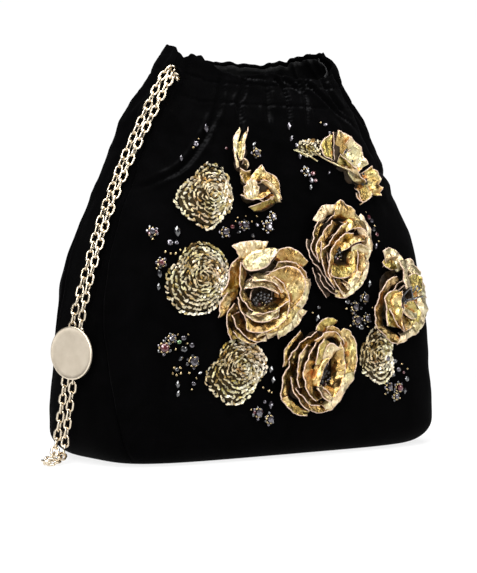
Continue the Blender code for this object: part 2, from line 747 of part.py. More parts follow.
# name, place (u, z), number of beads round the first, spread angle, turn
CLUSTERS = (
    ("crystals_crease_top", 0.060, 0.1985, 1, 0.0),
    ("crystals_crease_low", 3.992, 0.1835, 1, 2.0),
    ("crystals_left_upper", 0.016, 0.1305, 3, 0.6),
    ("crystals_left_side", 3.926, 0.1365, 1, 3.0),
    ("crystals_left_drop", 3.982, 0.1160, 2, 1.5),
    ("crystals_under_bud", 0.262, 0.1385, 4, 0.2),
    ("crystals_pink", 0.560, 0.1708, 3, 0.5),
    ("crystals_left_lower", 0.100, 0.0690, 4, 0.9),
    ("crystals_left_foot", 0.034, 0.0686, 1, 2.6),
    ("crystals_left_tail", 0.082, 0.0490, 1, 1.6),
    ("crystals_foot", 0.345, 0.0240, 3, 0.4),
    ("crystals_centre", 0.716, 0.0895, 3, 0.8),
    ("crystals_right_foot", 0.880, 0.0405, 4, 0.3),
    ("crystals_right_upper", 0.855, 0.1395, 1, 1.4),
    ("crystals_neck", 0.730, 0.2030, 1, 0.3),
)
bead_mat = material("jet_crystal", (0.012, 0.012, 0.014), 0.08)
for name, u, z, ringed, turn_ in CLUSTERS:
    uu = u if u < 3 else u - 4
    s0 = s_of(uu, z)
    spots = [(0.0, 0.0)]
    for i in range(ringed):
        a = turn_ + 2 * math.pi * i / max(ringed, 1)
        spots.append((2 * BEAD * 0.68 * math.cos(a), 2 * BEAD * 0.68 * math.sin(a)))
    made = []
    for ds, dz in spots:
        bm = bmesh.new()
        bmesh.ops.create_uvsphere(bm, u_segments=6, v_segments=4, radius=BEAD)
        me = bpy.data.meshes.new(name)
        bm.to_mesh(me)
        bm.free()
        ob = bpy.data.objects.new(name if not made else name + "_bead%d" % len(made), me)
        ob.location = wall_at(s0 + ds, z + dz, BEAD + GAP + 0.0002)
        v = v_at(z)
        ob.rotation_euler = normal(uu % 4, v).to_track_quat("Z", "Y").to_euler()
        (tools if made else pouch).objects.link(ob)
        made.append(ob)
    finish(made[0], bead_mat, flat=True)
    for extra in made[1:]:
        extra.hide_render = True
        extra.display_type = "WIRE"
        b = made[0].modifiers.new("sewn_to_" + extra.name, "BOOLEAN")
        b.operation = "UNION"
        b.solver = "EXACT"
        b.object = extra
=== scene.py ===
"""Looks of the velvet drawstring pouch: gathered velvet, chain of links,
foiled-leather roses, flake blossoms and sewn crystals."""

import json
import math

import bmesh
import bpy
import numpy as np
from mathutils import Matrix, Vector

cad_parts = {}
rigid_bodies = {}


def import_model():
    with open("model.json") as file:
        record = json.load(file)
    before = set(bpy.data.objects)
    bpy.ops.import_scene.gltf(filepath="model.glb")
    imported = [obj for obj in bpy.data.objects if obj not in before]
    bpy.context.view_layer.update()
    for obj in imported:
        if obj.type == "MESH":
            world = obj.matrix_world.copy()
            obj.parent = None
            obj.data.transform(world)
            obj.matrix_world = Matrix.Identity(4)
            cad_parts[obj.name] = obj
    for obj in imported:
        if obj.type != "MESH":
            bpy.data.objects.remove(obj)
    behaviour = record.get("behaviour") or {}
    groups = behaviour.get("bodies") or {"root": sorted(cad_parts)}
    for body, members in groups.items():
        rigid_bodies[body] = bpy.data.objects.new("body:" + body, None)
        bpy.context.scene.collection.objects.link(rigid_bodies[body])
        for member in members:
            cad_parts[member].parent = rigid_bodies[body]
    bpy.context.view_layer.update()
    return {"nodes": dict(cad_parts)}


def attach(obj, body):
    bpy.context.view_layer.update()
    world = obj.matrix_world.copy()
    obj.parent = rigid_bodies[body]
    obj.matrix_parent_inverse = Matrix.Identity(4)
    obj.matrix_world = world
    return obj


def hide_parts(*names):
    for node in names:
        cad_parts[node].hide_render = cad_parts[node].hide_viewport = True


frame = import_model()
rng = np.random.default_rng(41)

# --------------------------------------------------------------------------
# sizes shared with the frame (metres)
# --------------------------------------------------------------------------
BASE_ROUND = 0.016
CLOTH = 0.0020
NECK_PLEAT = 0.0036
CHAIN_DEPTH, CHAIN_D, STRAND_GAP = 0.0070, 0.0050, 0.0062
EXIT_U, EXIT_Z = 3.742, 0.2335
MEDAL_TURN = math.radians(20.0)
SLIDE_TOP = np.array([-0.1310, -0.0109, 0.0800])
SLIDE_FOOT = np.array([-0.1342, 0.0005, 0.0180])
MEDAL_Z = 0.0666
MEDAL_SHIFT, POST = 0.0036, 0.0008
MEDAL_D, MEDAL_T = 0.0315, 0.0018
SLEEVE_D = 0.0074
LOOP_TIP = np.array([-0.1545, -0.0165, 0.0])
SECTIONS = (
    (0.000, 0.1250, 0.0605, 4.4),
    (0.028, 0.1268, 0.0616, 4.2),
    (0.055, 0.1262, 0.0613, 3.9),
    (0.083, 0.1245, 0.0606, 3.6),
    (0.110, 0.1215, 0.0598, 3.3),
    (0.137, 0.1142, 0.0576, 3.0),
    (0.165, 0.1026, 0.0539, 2.7),
    (0.188, 0.0934, 0.0500, 2.5),
    (0.211, 0.0840, 0.0457, 2.3),
    (0.231, 0.0711, 0.0391, 2.2),
    (0.243, 0.0648, 0.0359, 2.2),
    (0.256, 0.0559, 0.0313, 2.2),
)
RIM = ((0.05, 0.2390), (0.12, 0.2345), (0.25, 0.2334), (0.38, 0.2358), (0.46, 0.2356),
       (0.58, 0.2336), (0.72, 0.2334), (0.86, 0.2348), (1.00, 0.2395), (1.10, 0.2440),
       (1.20, 0.2495), (1.32, 0.2538), (1.46, 0.2554), (1.62, 0.2553), (1.83, 0.2540),
       (1.92, 0.2508), (2.00, 0.2520), (2.12, 0.2490), (2.36, 0.2495), (2.60, 0.2490),
       (2.80, 0.2490), (3.00, 0.2497), (3.18, 0.2522), (3.30, 0.2545), (3.48, 0.2542),
       (3.60, 0.2515), (3.70, 0.2478), (3.78, 0.2440), (3.82, 0.2466), (3.93, 0.2447))
CASING_FRONT, CASING_BACK, CASING_EAR = 0.2215, 0.2320, 0.0085
VALLEYS = np.array([0.108, 0.246, 0.385, 0.508, 0.665, 0.835,
                    1.04, 1.30, 1.56, 1.82,
                    2.06, 2.22, 2.38, 2.54, 2.70, 2.86,
                    3.05, 3.27, 3.53, 3.88])

# --------------------------------------------------------------------------
# camera (front left, at about the height of the pouch)
# --------------------------------------------------------------------------
cam_data = bpy.data.cameras.new("photo_camera")
camera = bpy.data.objects.new("photo_camera", cam_data)
bpy.context.scene.collection.objects.link(camera)
AZ = math.radians(35.0)
right = Vector((math.cos(AZ), -math.sin(AZ), 0))
target = Vector((0, 0, 0.103)) - right * 0.0051
camera.location = Vector((-math.sin(AZ), -math.cos(AZ), 0)) * 1.12 + Vector((0, 0, 0.130)) - right * 0.0051
camera.rotation_mode = "QUATERNION"
camera.rotation_quaternion = (target - camera.location).to_track_quat("-Z", "Y")
cam_data.lens = 110.0
cam_data.sensor_width = 36.0
cam_data.sensor_fit = "AUTO"
cam_data.clip_start, cam_data.clip_end = 0.05, 20.0
bpy.context.scene.camera = camera

# --------------------------------------------------------------------------
# the wall surface S(u, v): u 0..1 front, 1..2 right, 2..3 back, 3..4 left
# --------------------------------------------------------------------------
QUARTER = BASE_ROUND * math.pi / 2
V_MAX = QUARTER + SECTIONS[-1][0] - BASE_ROUND


def height(v):
    v = np.asarray(v, float)
    return np.where(v < QUARTER, BASE_ROUND * (1 - np.cos(np.clip(v, 0, QUARTER) / BASE_ROUND)),
                    BASE_ROUND + v - QUARTER)


def v_at(z):
    z = np.asarray(z, float)
    low = BASE_ROUND * np.arccos(np.clip(1 - z / BASE_ROUND, -1, 1))
    return np.where(z < BASE_ROUND, low, QUARTER + z - BASE_ROUND)


def section(z):
    rows = SECTIONS
    z = min(max(z, rows[0][0]), rows[-1][0])
    i = max(k for k in range(len(rows) - 1) if rows[k][0] <= z)
    p = [rows[max(i - 1, 0)], rows[i], rows[i + 1], rows[min(i + 2, len(rows) - 1)]]
    h = p[2][0] - p[1][0]
    t = (z - p[1][0]) / h
    out = []
    for c in (1, 2, 3):
        m1 = (p[2][c] - p[0][c]) / (p[2][0] - p[0][0]) * h
        m2 = (p[3][c] - p[1][c]) / (p[3][0] - p[1][0]) * h
        out.append((2 * t**3 - 3 * t**2 + 1) * p[1][c] + (t**3 - 2 * t**2 + t) * m1
                   + (3 * t**2 - 2 * t**3) * p[2][c] + (t**3 - t**2) * m2)
    return out


NV, NU = 720, 260
TX = np.zeros((NV + 1, 4, NU + 1))
TY = np.zeros((NV + 1, 4, NU + 1))
TL = np.zeros((NV + 1, 4))
for j in range(NV + 1):
    v = V_MAX * j / NV
    a, b, n = section(float(height(v)))
    if v < QUARTER:
        a -= BASE_ROUND * (1 - math.sin(v / BASE_ROUND))
        b -= BASE_ROUND * (1 - math.sin(v / BASE_ROUND))
    for k in range(4):
        ph = np.radians(np.linspace(225 + 90 * k, 315 + 90 * k, 241))
        c, s = np.cos(ph), np.sin(ph)
        x = a * np.sign(c) * np.abs(c) ** (2 / n)
        y = b * np.sign(s) * np.abs(s) ** (2 / n)
        d = np.concatenate([[0], np.cumsum(np.hypot(np.diff(x), np.diff(y)))])
        e = np.linspace(0, d[-1], NU + 1)
        TX[j, k], TY[j, k], TL[j, k] = np.interp(e, d, x), np.interp(e, d, y), d[-1]


def side_length(k, v):
    f = np.clip(np.asarray(v, float) / V_MAX, 0, 1) * NV
    j = np.minimum(f.astype(int), NV - 1)
    t = f - j
    k = np.asarray(k, int) % 4
    return TL[j, k] * (1 - t) + TL[j + 1, k] * t


def smooth_point(u, v):
    u, v = np.broadcast_arrays(np.asarray(u, float), np.asarray(v, float))
    f = np.clip(v / V_MAX, 0, 1) * NV
    j = np.minimum(f.astype(int), NV - 1)
    t = f - j
    k = np.floor(u).astype(int)
    w = (u - k) * NU
    i = np.minimum(w.astype(int), NU - 1)
    s = w - i
    k = k % 4

    def mix(T):
        return ((T[j, k, i] * (1 - s) + T[j, k, i + 1] * s) * (1 - t)
                + (T[j + 1, k, i] * (1 - s) + T[j + 1, k, i + 1] * s) * t)

    return np.stack([mix(TX), mix(TY), height(np.clip(v, 0, V_MAX)) + 0 * u], -1)


def unit(a):
    return a / np.maximum(np.linalg.norm(a, axis=-1, keepdims=True), 1e-12)


def normal(u, v):
    u, v = np.broadcast_arrays(np.asarray(u, float), np.asarray(v, float))
    e = 0.0016
    du = e / side_length(np.floor(u).astype(int), v)
    a = smooth_point(u + du, v) - smooth_point(u - du, v)
    b = smooth_point(u, np.minimum(v + e, V_MAX)) - smooth_point(u, np.maximum(v - e, 0))
    n = unit(np.cross(a, b))
    flat = v < 1e-6
    n[flat] = (0, 0, -1)
    return n


def ease(x):
    x = np.clip(x, 0, 1)
    return x * x * (3 - 2 * x)


def back_share(u):
    return (1 - np.cos(math.pi / 2 * (np.asarray(u) - 0.5))) / 2


def ear(u):
    u = np.asarray(u) % 4
    return np.exp(-((u - 3.62) / 0.25) ** 2) + 0.93 * np.exp(-((u - 1.40) / 0.25) ** 2)


def gather_phase(u):
    u = np.asarray(u, float) % 4
    ext = np.concatenate([[VALLEYS[-1] - 4], VALLEYS, [VALLEYS[0] + 4]])
    return np.interp(u, ext, np.arange(-1, len(VALLEYS) + 1))


def rim_height(u):
    us = [RIM[-1][0] - 4] + [q for q, _ in RIM] + [RIM[0][0] + 4]
    zs = [RIM[-1][1]] + [z for _, z in RIM] + [RIM[0][1]]
    w = (np.asarray(u, float) - RIM[0][0]) % 4 + RIM[0][0]
    pucker = 0.0005 * np.sin(2 * math.pi * gather_phase(u) + 0.8) + 0.0003 * np.sin(61 * w)
    return np.minimum(np.interp(w, us, zs) + pucker, 0.2559)


def casing_height(u):
    return (CASING_FRONT + (CASING_BACK - CASING_FRONT) * back_share(u) + CASING_EAR * ear(u))


def seam_shift(v):
    return 0.10 + 0.19 * ease((height(v) + 0.010) / 0.110)


def s_of(u, z):
    """Length along the front from its middle, at the height z."""
    v = v_at(z)
    front = side_length(0, v)
    if u > 1:
        return front / 2 + (u - 1) * side_length(1, v)
    if u < 0:
        return -front / 2 + u * side_length(3, v)
    return (u - 0.5) * front


def u_of(s, v):
    s, v = np.broadcast_arrays(np.asarray(s, float), np.asarray(v, float))
    zero = np.zeros(s.shape, int)
    front = side_length(zero, v)
    u = 0.5 + s / front
    u = np.where(s > front / 2, 1 + (s - front / 2) / side_length(zero + 1, v), u)
    return np.where(s < -front / 2, -(-s - front / 2) / side_length(zero + 3, v), u)


# --------------------------------------------------------------------------
# cheap smooth noise in 3-D (sums of sines, same every run)
# --------------------------------------------------------------------------
def noise3(p, size, seed, octaves=3):
    g = np.random.default_rng(seed)
    out = np.zeros(p.shape[:-1])
    amp, tot = 1.0, 0.0
    for _ in range(octaves):
        for _ in range(4):
            d = unit(g.normal(size=3))
            ph = g.uniform(0, 2 * math.pi)
            bend = unit(g.normal(size=3))
            out += amp * np.sin((p @ d) * 2 * math.pi / size + ph
                                + 1.3 * np.sin((p @ bend) * 2 * math.pi / (size * 1.7) + ph * 2))
        tot += amp * 4
        size, amp = size / 2.03, amp * 0.5
    return out / tot * 2.0


# --------------------------------------------------------------------------
# relief of the velvet: gathers, long creases, seams and soft unevenness
# --------------------------------------------------------------------------
# each crease: points (u, height), depth, half width
CREASES = [
    ([(0.108, 0.2330), (0.112, 0.2240), (0.110, 0.2132), (0.089, 0.2014), (0.063, 0.1917), (0.007, 0.1767),
      (-0.103, 0.1692), (-0.229, 0.1639), (-0.340, 0.1610)], 0.0022, 0.0017),
    ([(0.246, 0.2330), (0.243, 0.2240), (0.216, 0.2164), (0.236, 0.2078), (0.275, 0.2020)], 0.0020, 0.0015),
    ([(0.250, 0.2330), (0.300, 0.2322), (0.360, 0.2325), (0.420, 0.2315)], 0.0010, 0.0012),
    ([(0.216, 0.2164), (0.222, 0.2060), (0.226, 0.1960), (0.230, 0.1860)], 0.0014, 0.0018),
    ([(0.430, 0.2330), (0.490, 0.2290), (0.506, 0.2200), (0.500, 0.2089), (0.508, 0.1985)], 0.0020, 0.0015),
    ([(0.500, 0.2330), (0.560, 0.2300), (0.600, 0.2260), (0.640, 0.2270)], 0.0014, 0.0013),
    ([(0.620, 0.2330), (0.640, 0.2240), (0.610, 0.2120), (0.590, 0.2000)], 0.0016, 0.0018),
    ([(0.660, 0.2320), (0.720, 0.2262), (0.790, 0.2190), (0.900, 0.2099), (0.980, 0.2020)], 0.0018, 0.0016),
    ([(0.385, 0.2260), (0.378, 0.2120), (0.366, 0.2000)], 0.0010, 0.0020),
    ([(0.835, 0.2320), (0.870, 0.2200), (0.950, 0.2080)], 0.0016, 0.0020),
    ([(3.820, 0.2460), (3.835, 0.2330), (3.835, 0.2200), (3.800, 0.2050)], 0.0018, 0.0018),
    ([(3.53, 0.2480), (3.50, 0.2260), (3.44, 0.2050)], 0.0018, 0.0024),
    ([(3.27, 0.2480), (3.26, 0.2250), (3.31, 0.2020), (3.36, 0.1850)], 0.0020, 0.0026),
    ([(1.04, 0.2380), (1.10, 0.2180), (1.22, 0.1960), (1.36, 0.1790)], 0.0020, 0.0026),
    ([(1.30, 0.2500), (1.33, 0.2240), (1.42, 0.2020)], 0.0018, 0.0024),
    ([(1.05, 0.1790), (1.25, 0.1735), (1.45, 0.1720)], 0.0014, 0.0034),
    ([(1.82, 0.2480), (1.78, 0.2200), (1.70, 0.1990)], 0.0020, 0.0026),
    ([(2.06, 0.2450), (2.08, 0.2200), (2.12, 0.1980), (2.18, 0.1800)], 0.0020, 0.0026),
    ([(2.38, 0.2450), (2.36, 0.2220), (2.40, 0.1990)], 0.0018, 0.0024),
    ([(2.70, 0.2450), (2.73, 0.2200), (2.68, 0.1980), (2.60, 0.1820)], 0.0020, 0.0026),
    ([(2.95, 0.2420), (2.92, 0.2120), (2.82, 0.1880), (2.66, 0.1740), (2.50, 0.1690)], 0.0020, 0.0030),
    ([(3.66, 0.1310), (3.68, 0.1150), (3.72, 0.0900), (3.76, 0.0620), (3.81, 0.0400), (3.87, 0.0220)], 0.0009, 0.0030),
]


def line3(points, step=0.002):
    p = np.array([smooth_point(u % 4, v_at(z)) for u, z in points])
    out = []
    q = np.vstack([2 * p[0] - p[1], p, 2 * p[-1] - p[-2]])
    for i in range(1, len(q) - 2):
        n = max(int(np.linalg.norm(q[i + 1] - q[i]) / step), 2)
        for t in np.arange(n) / n:
            out.append(0.5 * (2 * q[i] + (q[i + 1] - q[i - 1]) * t
                              + (2 * q[i - 1] - 5 * q[i] + 4 * q[i + 1] - q[i + 2]) * t * t
                              + (3 * q[i] - q[i - 1] - 3 * q[i + 1] + q[i + 2]) * t ** 3))
    out.append(q[-2])
    return np.array(out)


CREASE_LINES = [(line3(pts), depth, wide) for pts, depth, wide in CREASES]


def crease_relief(p):
    flat = p.reshape(-1, 3)
    out = np.zeros(len(flat))
    for line, depth, wide in CREASE_LINES:
        lo, hi = line.min(0) - 5 * wide, line.max(0) + 5 * wide
        near = np.where(((flat > lo) & (flat < hi)).all(1))[0]
        for part in np.array_split(near, max(len(near) // 6000, 1)):
            if not len(part):
                continue
            d2 = ((flat[part][:, None] - line[None]) ** 2).sum(-1)
            j = d2.argmin(1)
            d = np.sqrt(d2[np.arange(len(part)), j])
            t = j / (len(line) - 1)
            fade = ease(0.3 + t / 0.10) * ease((1 - t) / 0.40)
            out[part] += depth * fade * (-np.exp(-(d / wide) ** 2)
                                         + 0.42 * np.exp(-((d - 2.0 * wide) / (1.0 * wide)) ** 2))
    return out.reshape(p.shape[:-1])


def gather(u, v, deep=NECK_PLEAT):
    z = height(v)
    ph = gather_phase(u)
    k = np.floor(ph)
    reach = 0.040 + 0.022 * np.sin(k * 2.4 + 1.0)
    rise = ease((z - (0.2160 - reach)) / reach)
    lobe = np.abs(np.sin(math.pi * ph)) ** 0.8
    w = (np.asarray(u, float) + 0.5) % 4 - 0.5
    front = ease((w + 0.12) / 0.2) * ease((1.05 - w) / 0.2)
    return deep * rise * (lobe - 0.80) * (0.80 - 0.42 * front)


def relief(u, v, p):
    """Outward push of the velvet over the smooth wall."""
    z = p[..., 2]
    out = gather(u, v) + crease_relief(p)
    out += 0.0011 * noise3(p, 0.060, 5, 2) * ease((z - 0.006) / 0.03)
    out += 0.0005 * noise3(p, 0.021, 9, 2) * ease((z - 0.120) / 0.06)
    # stitched casing: two shallow lines either side of the chain
    c = z - casing_height(u)
    for off in (-0.0062, 0.0064):
        out -= 0.0007 * np.exp(-((c - off) / 0.0009) ** 2) * (0.8 + 0.2 * np.sin(gather_phase(u) * 40))
    # side seams sink a little between plump edges
    for k in range(4):
        lean = seam_shift(v) * (1 if k % 2 == 0 else -1)
        du = (np.asarray(u) - (k - lean) + 2) % 4 - 2
        d = np.abs(du) * side_length(k if k % 2 else k + 3, v)
        out += (-0.0010 * np.exp(-(d / 0.0012) ** 2) + 0.0004 * np.exp(-((d - 0.0032) / 0.0022) ** 2)) \
            * ease((z - 0.002) / 0.01) * ease((0.226 - z) / 0.02)
    floor_ = -0.0024
    return np.where(out < floor_ + 0.0006, floor_ + 0.0006 * np.exp((out - floor_ - 0.0006) / 0.0006), out)


def wall(u, v, out=0.0):
    p = smooth_point(u, v)
    return p + normal(u, v) * (relief(u, v, p) + out)[..., None]


# --------------------------------------------------------------------------
# mesh helpers
# --------------------------------------------------------------------------
pouch = bpy.data.collections.new("pouch_looks")
bpy.context.scene.collection.children.link(pouch)


def make(name, verts, faces, mats, index=None, smooth=True, fix=False):
    me = bpy.data.meshes.new(name)
    me.from_pydata(np.asarray(verts, float).tolist(), [], faces if isinstance(faces, list) else faces.tolist())
    for m in (mats if isinstance(mats, (list, tuple)) else [mats]):
        me.materials.append(m)
    if index is not None:
        me.polygons.foreach_set("material_index", np.asarray(index, np.int32))
    me.polygons.foreach_set("use_smooth", np.full(len(me.polygons), bool(smooth)))
    me.update()
    obj = bpy.data.objects.new(name, me)
    pouch.objects.link(obj)
    if fix:
        bm = bmesh.new()
        bm.from_mesh(me)
        bmesh.ops.recalc_face_normals(bm, faces=bm.faces)
        bm.to_mesh(me)
        bm.free()
    return obj


def quads(rows, cols, closed=False, start=0, flip=False):
    r, c = np.meshgrid(np.arange(rows - 1), np.arange(cols if closed else cols - 1), indexing="ij")
    c2 = (c + 1) % cols
    q = np.stack([r * cols + c, r * cols + c2, (r + 1) * cols + c2, (r + 1) * cols + c], -1).reshape(-1, 4)
    if flip:
        q = q[:, ::-1]
    return q + start


# --------------------------------------------------------------------------
# materials
# --------------------------------------------------------------------------
def new_mat(name):
    m = bpy.data.materials.new(name)
    m.use_nodes = True
    nt = m.node_tree
    return m, nt, nt.nodes["Principled BSDF"]


def node(nt, kind, **values):
    n = nt.nodes.new(kind)
    for k, v in values.items():
        if k in n.inputs.keys():
            n.inputs[k].default_value = v
        else:
            setattr(n, k, v)
    return n


def ramp(nt, stops):
    r = nt.nodes.new("ShaderNodeValToRGB")
    el = r.color_ramp.elements
    while len(el) < len(stops):
        el.new(0.5)
    for e, (pos, col) in zip(el, stops):
        e.position = pos
        e.color = (*col, 1.0) if len(col) == 3 else col
    return r


def coords(nt):
    return nt.nodes.new("ShaderNodeTexCoord").outputs["Object"]


def bump(nt, p, height_socket, strength, distance, prev=None):
    b = node(nt, "ShaderNodeBump", Strength=strength, Distance=distance)
    nt.links.new(height_socket, b.inputs["Height"])
    if prev is not None:
        nt.links.new(prev.outputs["Normal"], b.inputs["Normal"])
    nt.links.new(b.outputs["Normal"], p.inputs["Normal"])
    return b


def velvet_material():
    m, nt, p = new_mat("black_velvet_looks")
    L = nt.links.new
    co = coords(nt)
    strokes = node(nt, "ShaderNodeTexNoise", Scale=38.0, Detail=4.0, Roughness=0.6, Distortion=0.8)
    L(co, strokes.inputs["Vector"])
    pile = node(nt, "ShaderNodeTexNoise", Scale=2600.0, Detail=2.0, Roughness=0.7)
    L(co, pile.inputs["Vector"])
    tone = ramp(nt, [(0.30, (0.0004, 0.0004, 0.00045)), (0.72, (0.0014, 0.0013, 0.0015))])
    L(strokes.outputs["Fac"], tone.inputs["Fac"])
    fibre = node(nt, "ShaderNodeMix", data_type="RGBA", blend_type="MULTIPLY")
    fibre.inputs["Factor"].default_value = 0.5
    L(tone.outputs["Color"], fibre.inputs["A"])
    L(pile.outputs["Color"], fibre.inputs["B"])
    # painted highlight: the velvet colour is mixed towards a lighter grey by the crease highlight attribute that the
    # panels bake
    crease_highlight_attr = node(nt, "ShaderNodeAttribute", attribute_name="painted_crease_highlight")
    crease_highlight_mix = node(nt, "ShaderNodeMix", data_type="RGBA")
    crease_highlight_mix.inputs["B"].default_value = (0.020, 0.020, 0.021, 1)
    L(crease_highlight_attr.outputs["Fac"], crease_highlight_mix.inputs["Factor"])
    L(fibre.outputs["Result"], crease_highlight_mix.inputs["A"])
    L(crease_highlight_mix.outputs["Result"], p.inputs["Base Color"])
    rough = node(nt, "ShaderNodeMapRange", **{"To Min": 0.78, "To Max": 0.95})
    L(strokes.outputs["Fac"], rough.inputs["Value"])
    L(rough.outputs["Result"], p.inputs["Roughness"])
    p.inputs["Specular IOR Level"].default_value = 0.015
    p.inputs["Sheen Weight"].default_value = 0.009
    p.inputs["Sheen Roughness"].default_value = 0.30
    p.inputs["Sheen Tint"].default_value = (0.75, 0.75, 0.80, 1.0)
    b = bump(nt, p, pile.outputs["Fac"], 0.35, 0.0004)
    bump(nt, p, strokes.outputs["Fac"], 0.25, 0.0012, b)
    return m


def satin_material():
    m, nt, p = new_mat("satin_lining_looks")
    L = nt.links.new
    co = coords(nt)
    weave = node(nt, "ShaderNodeTexWave", Scale=900.0, Distortion=0.4, Detail=1.0)
    L(co, weave.inputs["Vector"])
    soft = node(nt, "ShaderNodeTexNoise", Scale=30.0, Detail=3.0)
    L(co, soft.inputs["Vector"])
    tone = ramp(nt, [(0.3, (0.0008, 0.0008, 0.0009)), (0.7, (0.0020, 0.0020, 0.0022))])
    L(soft.outputs["Fac"], tone.inputs["Fac"])
    L(tone.outputs["Color"], p.inputs["Base Color"])
    p.inputs["Specular IOR Level"].default_value = 0.12
    r = node(nt, "ShaderNodeMapRange", **{"To Min": 0.48, "To Max": 0.62})
    L(soft.outputs["Fac"], r.inputs["Value"])
    L(r.outputs["Result"], p.inputs["Roughness"])
    bump(nt, p, weave.outputs["Fac"], 0.15, 0.0002)
    return m


def metal_material(name, light, dark, rough, scratch=0.1):
    m, nt, p = new_mat(name)
    L = nt.links.new
    co = coords(nt)
    n1 = node(nt, "ShaderNodeTexNoise", Scale=160.0, Detail=4.0, Roughness=0.6)
    L(co, n1.inputs["Vector"])
    tone = ramp(nt, [(0.30, dark), (0.65, light)])
    L(n1.outputs["Fac"], tone.inputs["Fac"])
    L(tone.outputs["Color"], p.inputs["Base Color"])
    p.inputs["Metallic"].default_value = 1.0
    r = node(nt, "ShaderNodeMapRange", **{"To Min": rough * 0.8, "To Max": rough * 1.25})
    L(n1.outputs["Fac"], r.inputs["Value"])
    L(r.outputs["Result"], p.inputs["Roughness"])
    n2 = node(nt, "ShaderNodeTexNoise", Scale=1400.0, Detail=3.0, Roughness=0.7)
    L(co, n2.inputs["Vector"])
    bump(nt, p, n2.outputs["Fac"], scratch, 0.0002)
    return m


def foil_material(name, deep, mid, high, metal=1.0, rough=0.30, hue=0.55, facets=0.55):
    """Foiled leather: crazed gold over brown, patches of hue and pressed facets."""
    m, nt, p = new_mat(name)
    L = nt.links.new
    co = coords(nt)
    cloud = node(nt, "ShaderNodeTexNoise", Scale=120.0, Detail=5.0, Roughness=0.65, Distortion=0.6)
    L(co, cloud.inputs["Vector"])
    tone = ramp(nt, [(0.30, deep), (0.46, mid), (0.68, high)])
    L(cloud.outputs["Fac"], tone.inputs["Fac"])
    patch = node(nt, "ShaderNodeTexNoise", Scale=85.0, Detail=2.0, Roughness=0.5, Distortion=0.4)
    L(co, patch.inputs["Vector"])
    tint = ramp(nt, [(0.36, (0.94, 1.0, 0.62)), (0.48, (1.0, 0.95, 0.80)), (0.57, (1.0, 0.84, 0.62)), (0.68, (1.0, 0.66, 0.46))])
    L(patch.outputs["Fac"], tint.inputs["Fac"])
    hued = node(nt, "ShaderNodeMix", data_type="RGBA", blend_type="MULTIPLY")
    hued.inputs["Factor"].default_value = hue
    L(tone.outputs["Color"], hued.inputs["A"])
    L(tint.outputs["Color"], hued.inputs["B"])
    crack = node(nt, "ShaderNodeTexVoronoi", Scale=900.0, feature="DISTANCE_TO_EDGE")
    L(co, crack.inputs["Vector"])
    line = node(nt, "ShaderNodeMapRange", **{"From Max": 0.08, "To Min": 0.50, "To Max": 1.0})
    L(crack.outputs["Distance"], line.inputs["Value"])
    mul = node(nt, "ShaderNodeMix", data_type="RGBA", blend_type="MULTIPLY")
    mul.inputs["Factor"].default_value = 0.55
    L(hued.outputs["Result"], mul.inputs["A"])
    L(line.outputs["Result"], mul.inputs["B"])
    L(mul.outputs["Result"], p.inputs["Base Color"])
    p.inputs["Metallic"].default_value = metal
    r = node(nt, "ShaderNodeMapRange", **{"To Min": rough * 0.70, "To Max": rough * 1.5})
    L(cloud.outputs["Fac"], r.inputs["Value"])
    L(r.outputs["Result"], p.inputs["Roughness"])
    press = node(nt, "ShaderNodeTexVoronoi", Scale=230.0)
    L(co, press.inputs["Vector"])
    crump = node(nt, "ShaderNodeTexNoise", Scale=330.0, Detail=4.0, Roughness=0.55, Distortion=1.2)
    L(co, crump.inputs["Vector"])
    b = bump(nt, p, press.outputs["Distance"], facets, 0.0016)
    b2 = bump(nt, p, crump.outputs["Fac"], 0.45, 0.0010, b)
    bump(nt, p, line.outputs["Result"], 0.20, 0.0002, b2)
    return m


def edge_material():
    """Raw cut edge of the leather, pale and slightly pink."""
    m, nt, p = new_mat("leather_cut_edge")
    L = nt.links.new
    co = coords(nt)
    n1 = node(nt, "ShaderNodeTexNoise", Scale=700.0, Detail=3.0, Roughness=0.7)
    L(co, n1.inputs["Vector"])
    tone = ramp(nt, [(0.30, (0.42, 0.26, 0.17)), (0.65, (0.80, 0.62, 0.50))])
    L(n1.outputs["Fac"], tone.inputs["Fac"])
    L(tone.outputs["Color"], p.inputs["Base Color"])
    p.inputs["Roughness"].default_value = 0.6
    bump(nt, p, n1.outputs["Fac"], 0.3, 0.0002)
    return m


def crystal_material(name, base, ior=1.9, rough=0.04, metal=0.0, coat=0.6):
    m, nt, p = new_mat(name)
    L = nt.links.new
    co = coords(nt)
    n1 = node(nt, "ShaderNodeTexNoise", Scale=500.0, Detail=2.0)
    L(co, n1.inputs["Vector"])
    tone = ramp(nt, [(0.3, tuple(c * 0.5 for c in base)), (0.7, tuple(min(c * 1.6, 1) for c in base))])
    L(n1.outputs["Fac"], tone.inputs["Fac"])
    L(tone.outputs["Color"], p.inputs["Base Color"])
    r = node(nt, "ShaderNodeMapRange", **{"To Min": rough * 0.5, "To Max": rough * 2.5})
    L(n1.outputs["Fac"], r.inputs["Value"])
    L(r.outputs["Result"], p.inputs["Roughness"])
    p.inputs["IOR"].default_value = ior
    p.inputs["Metallic"].default_value = metal
    p.inputs["Coat Weight"].default_value = coat
    p.inputs["Coat Roughness"].default_value = 0.03
    return m


def board_material():
    m, nt, p = new_mat("stiff_board_looks")
    L = nt.links.new
    co = coords(nt)
    n1 = node(nt, "ShaderNodeTexNoise", Scale=420.0, Detail=5.0, Roughness=0.7)
    L(co, n1.inputs["Vector"])
    tone = ramp(nt, [(0.3, (0.16, 0.13, 0.10)), (0.7, (0.30, 0.26, 0.20))])
    L(n1.outputs["Fac"], tone.inputs["Fac"])
    L(tone.outputs["Color"], p.inputs["Base Color"])
    p.inputs["Roughness"].default_value = 0.85
    bump(nt, p, n1.outputs["Fac"], 0.3, 0.0003)
    return m


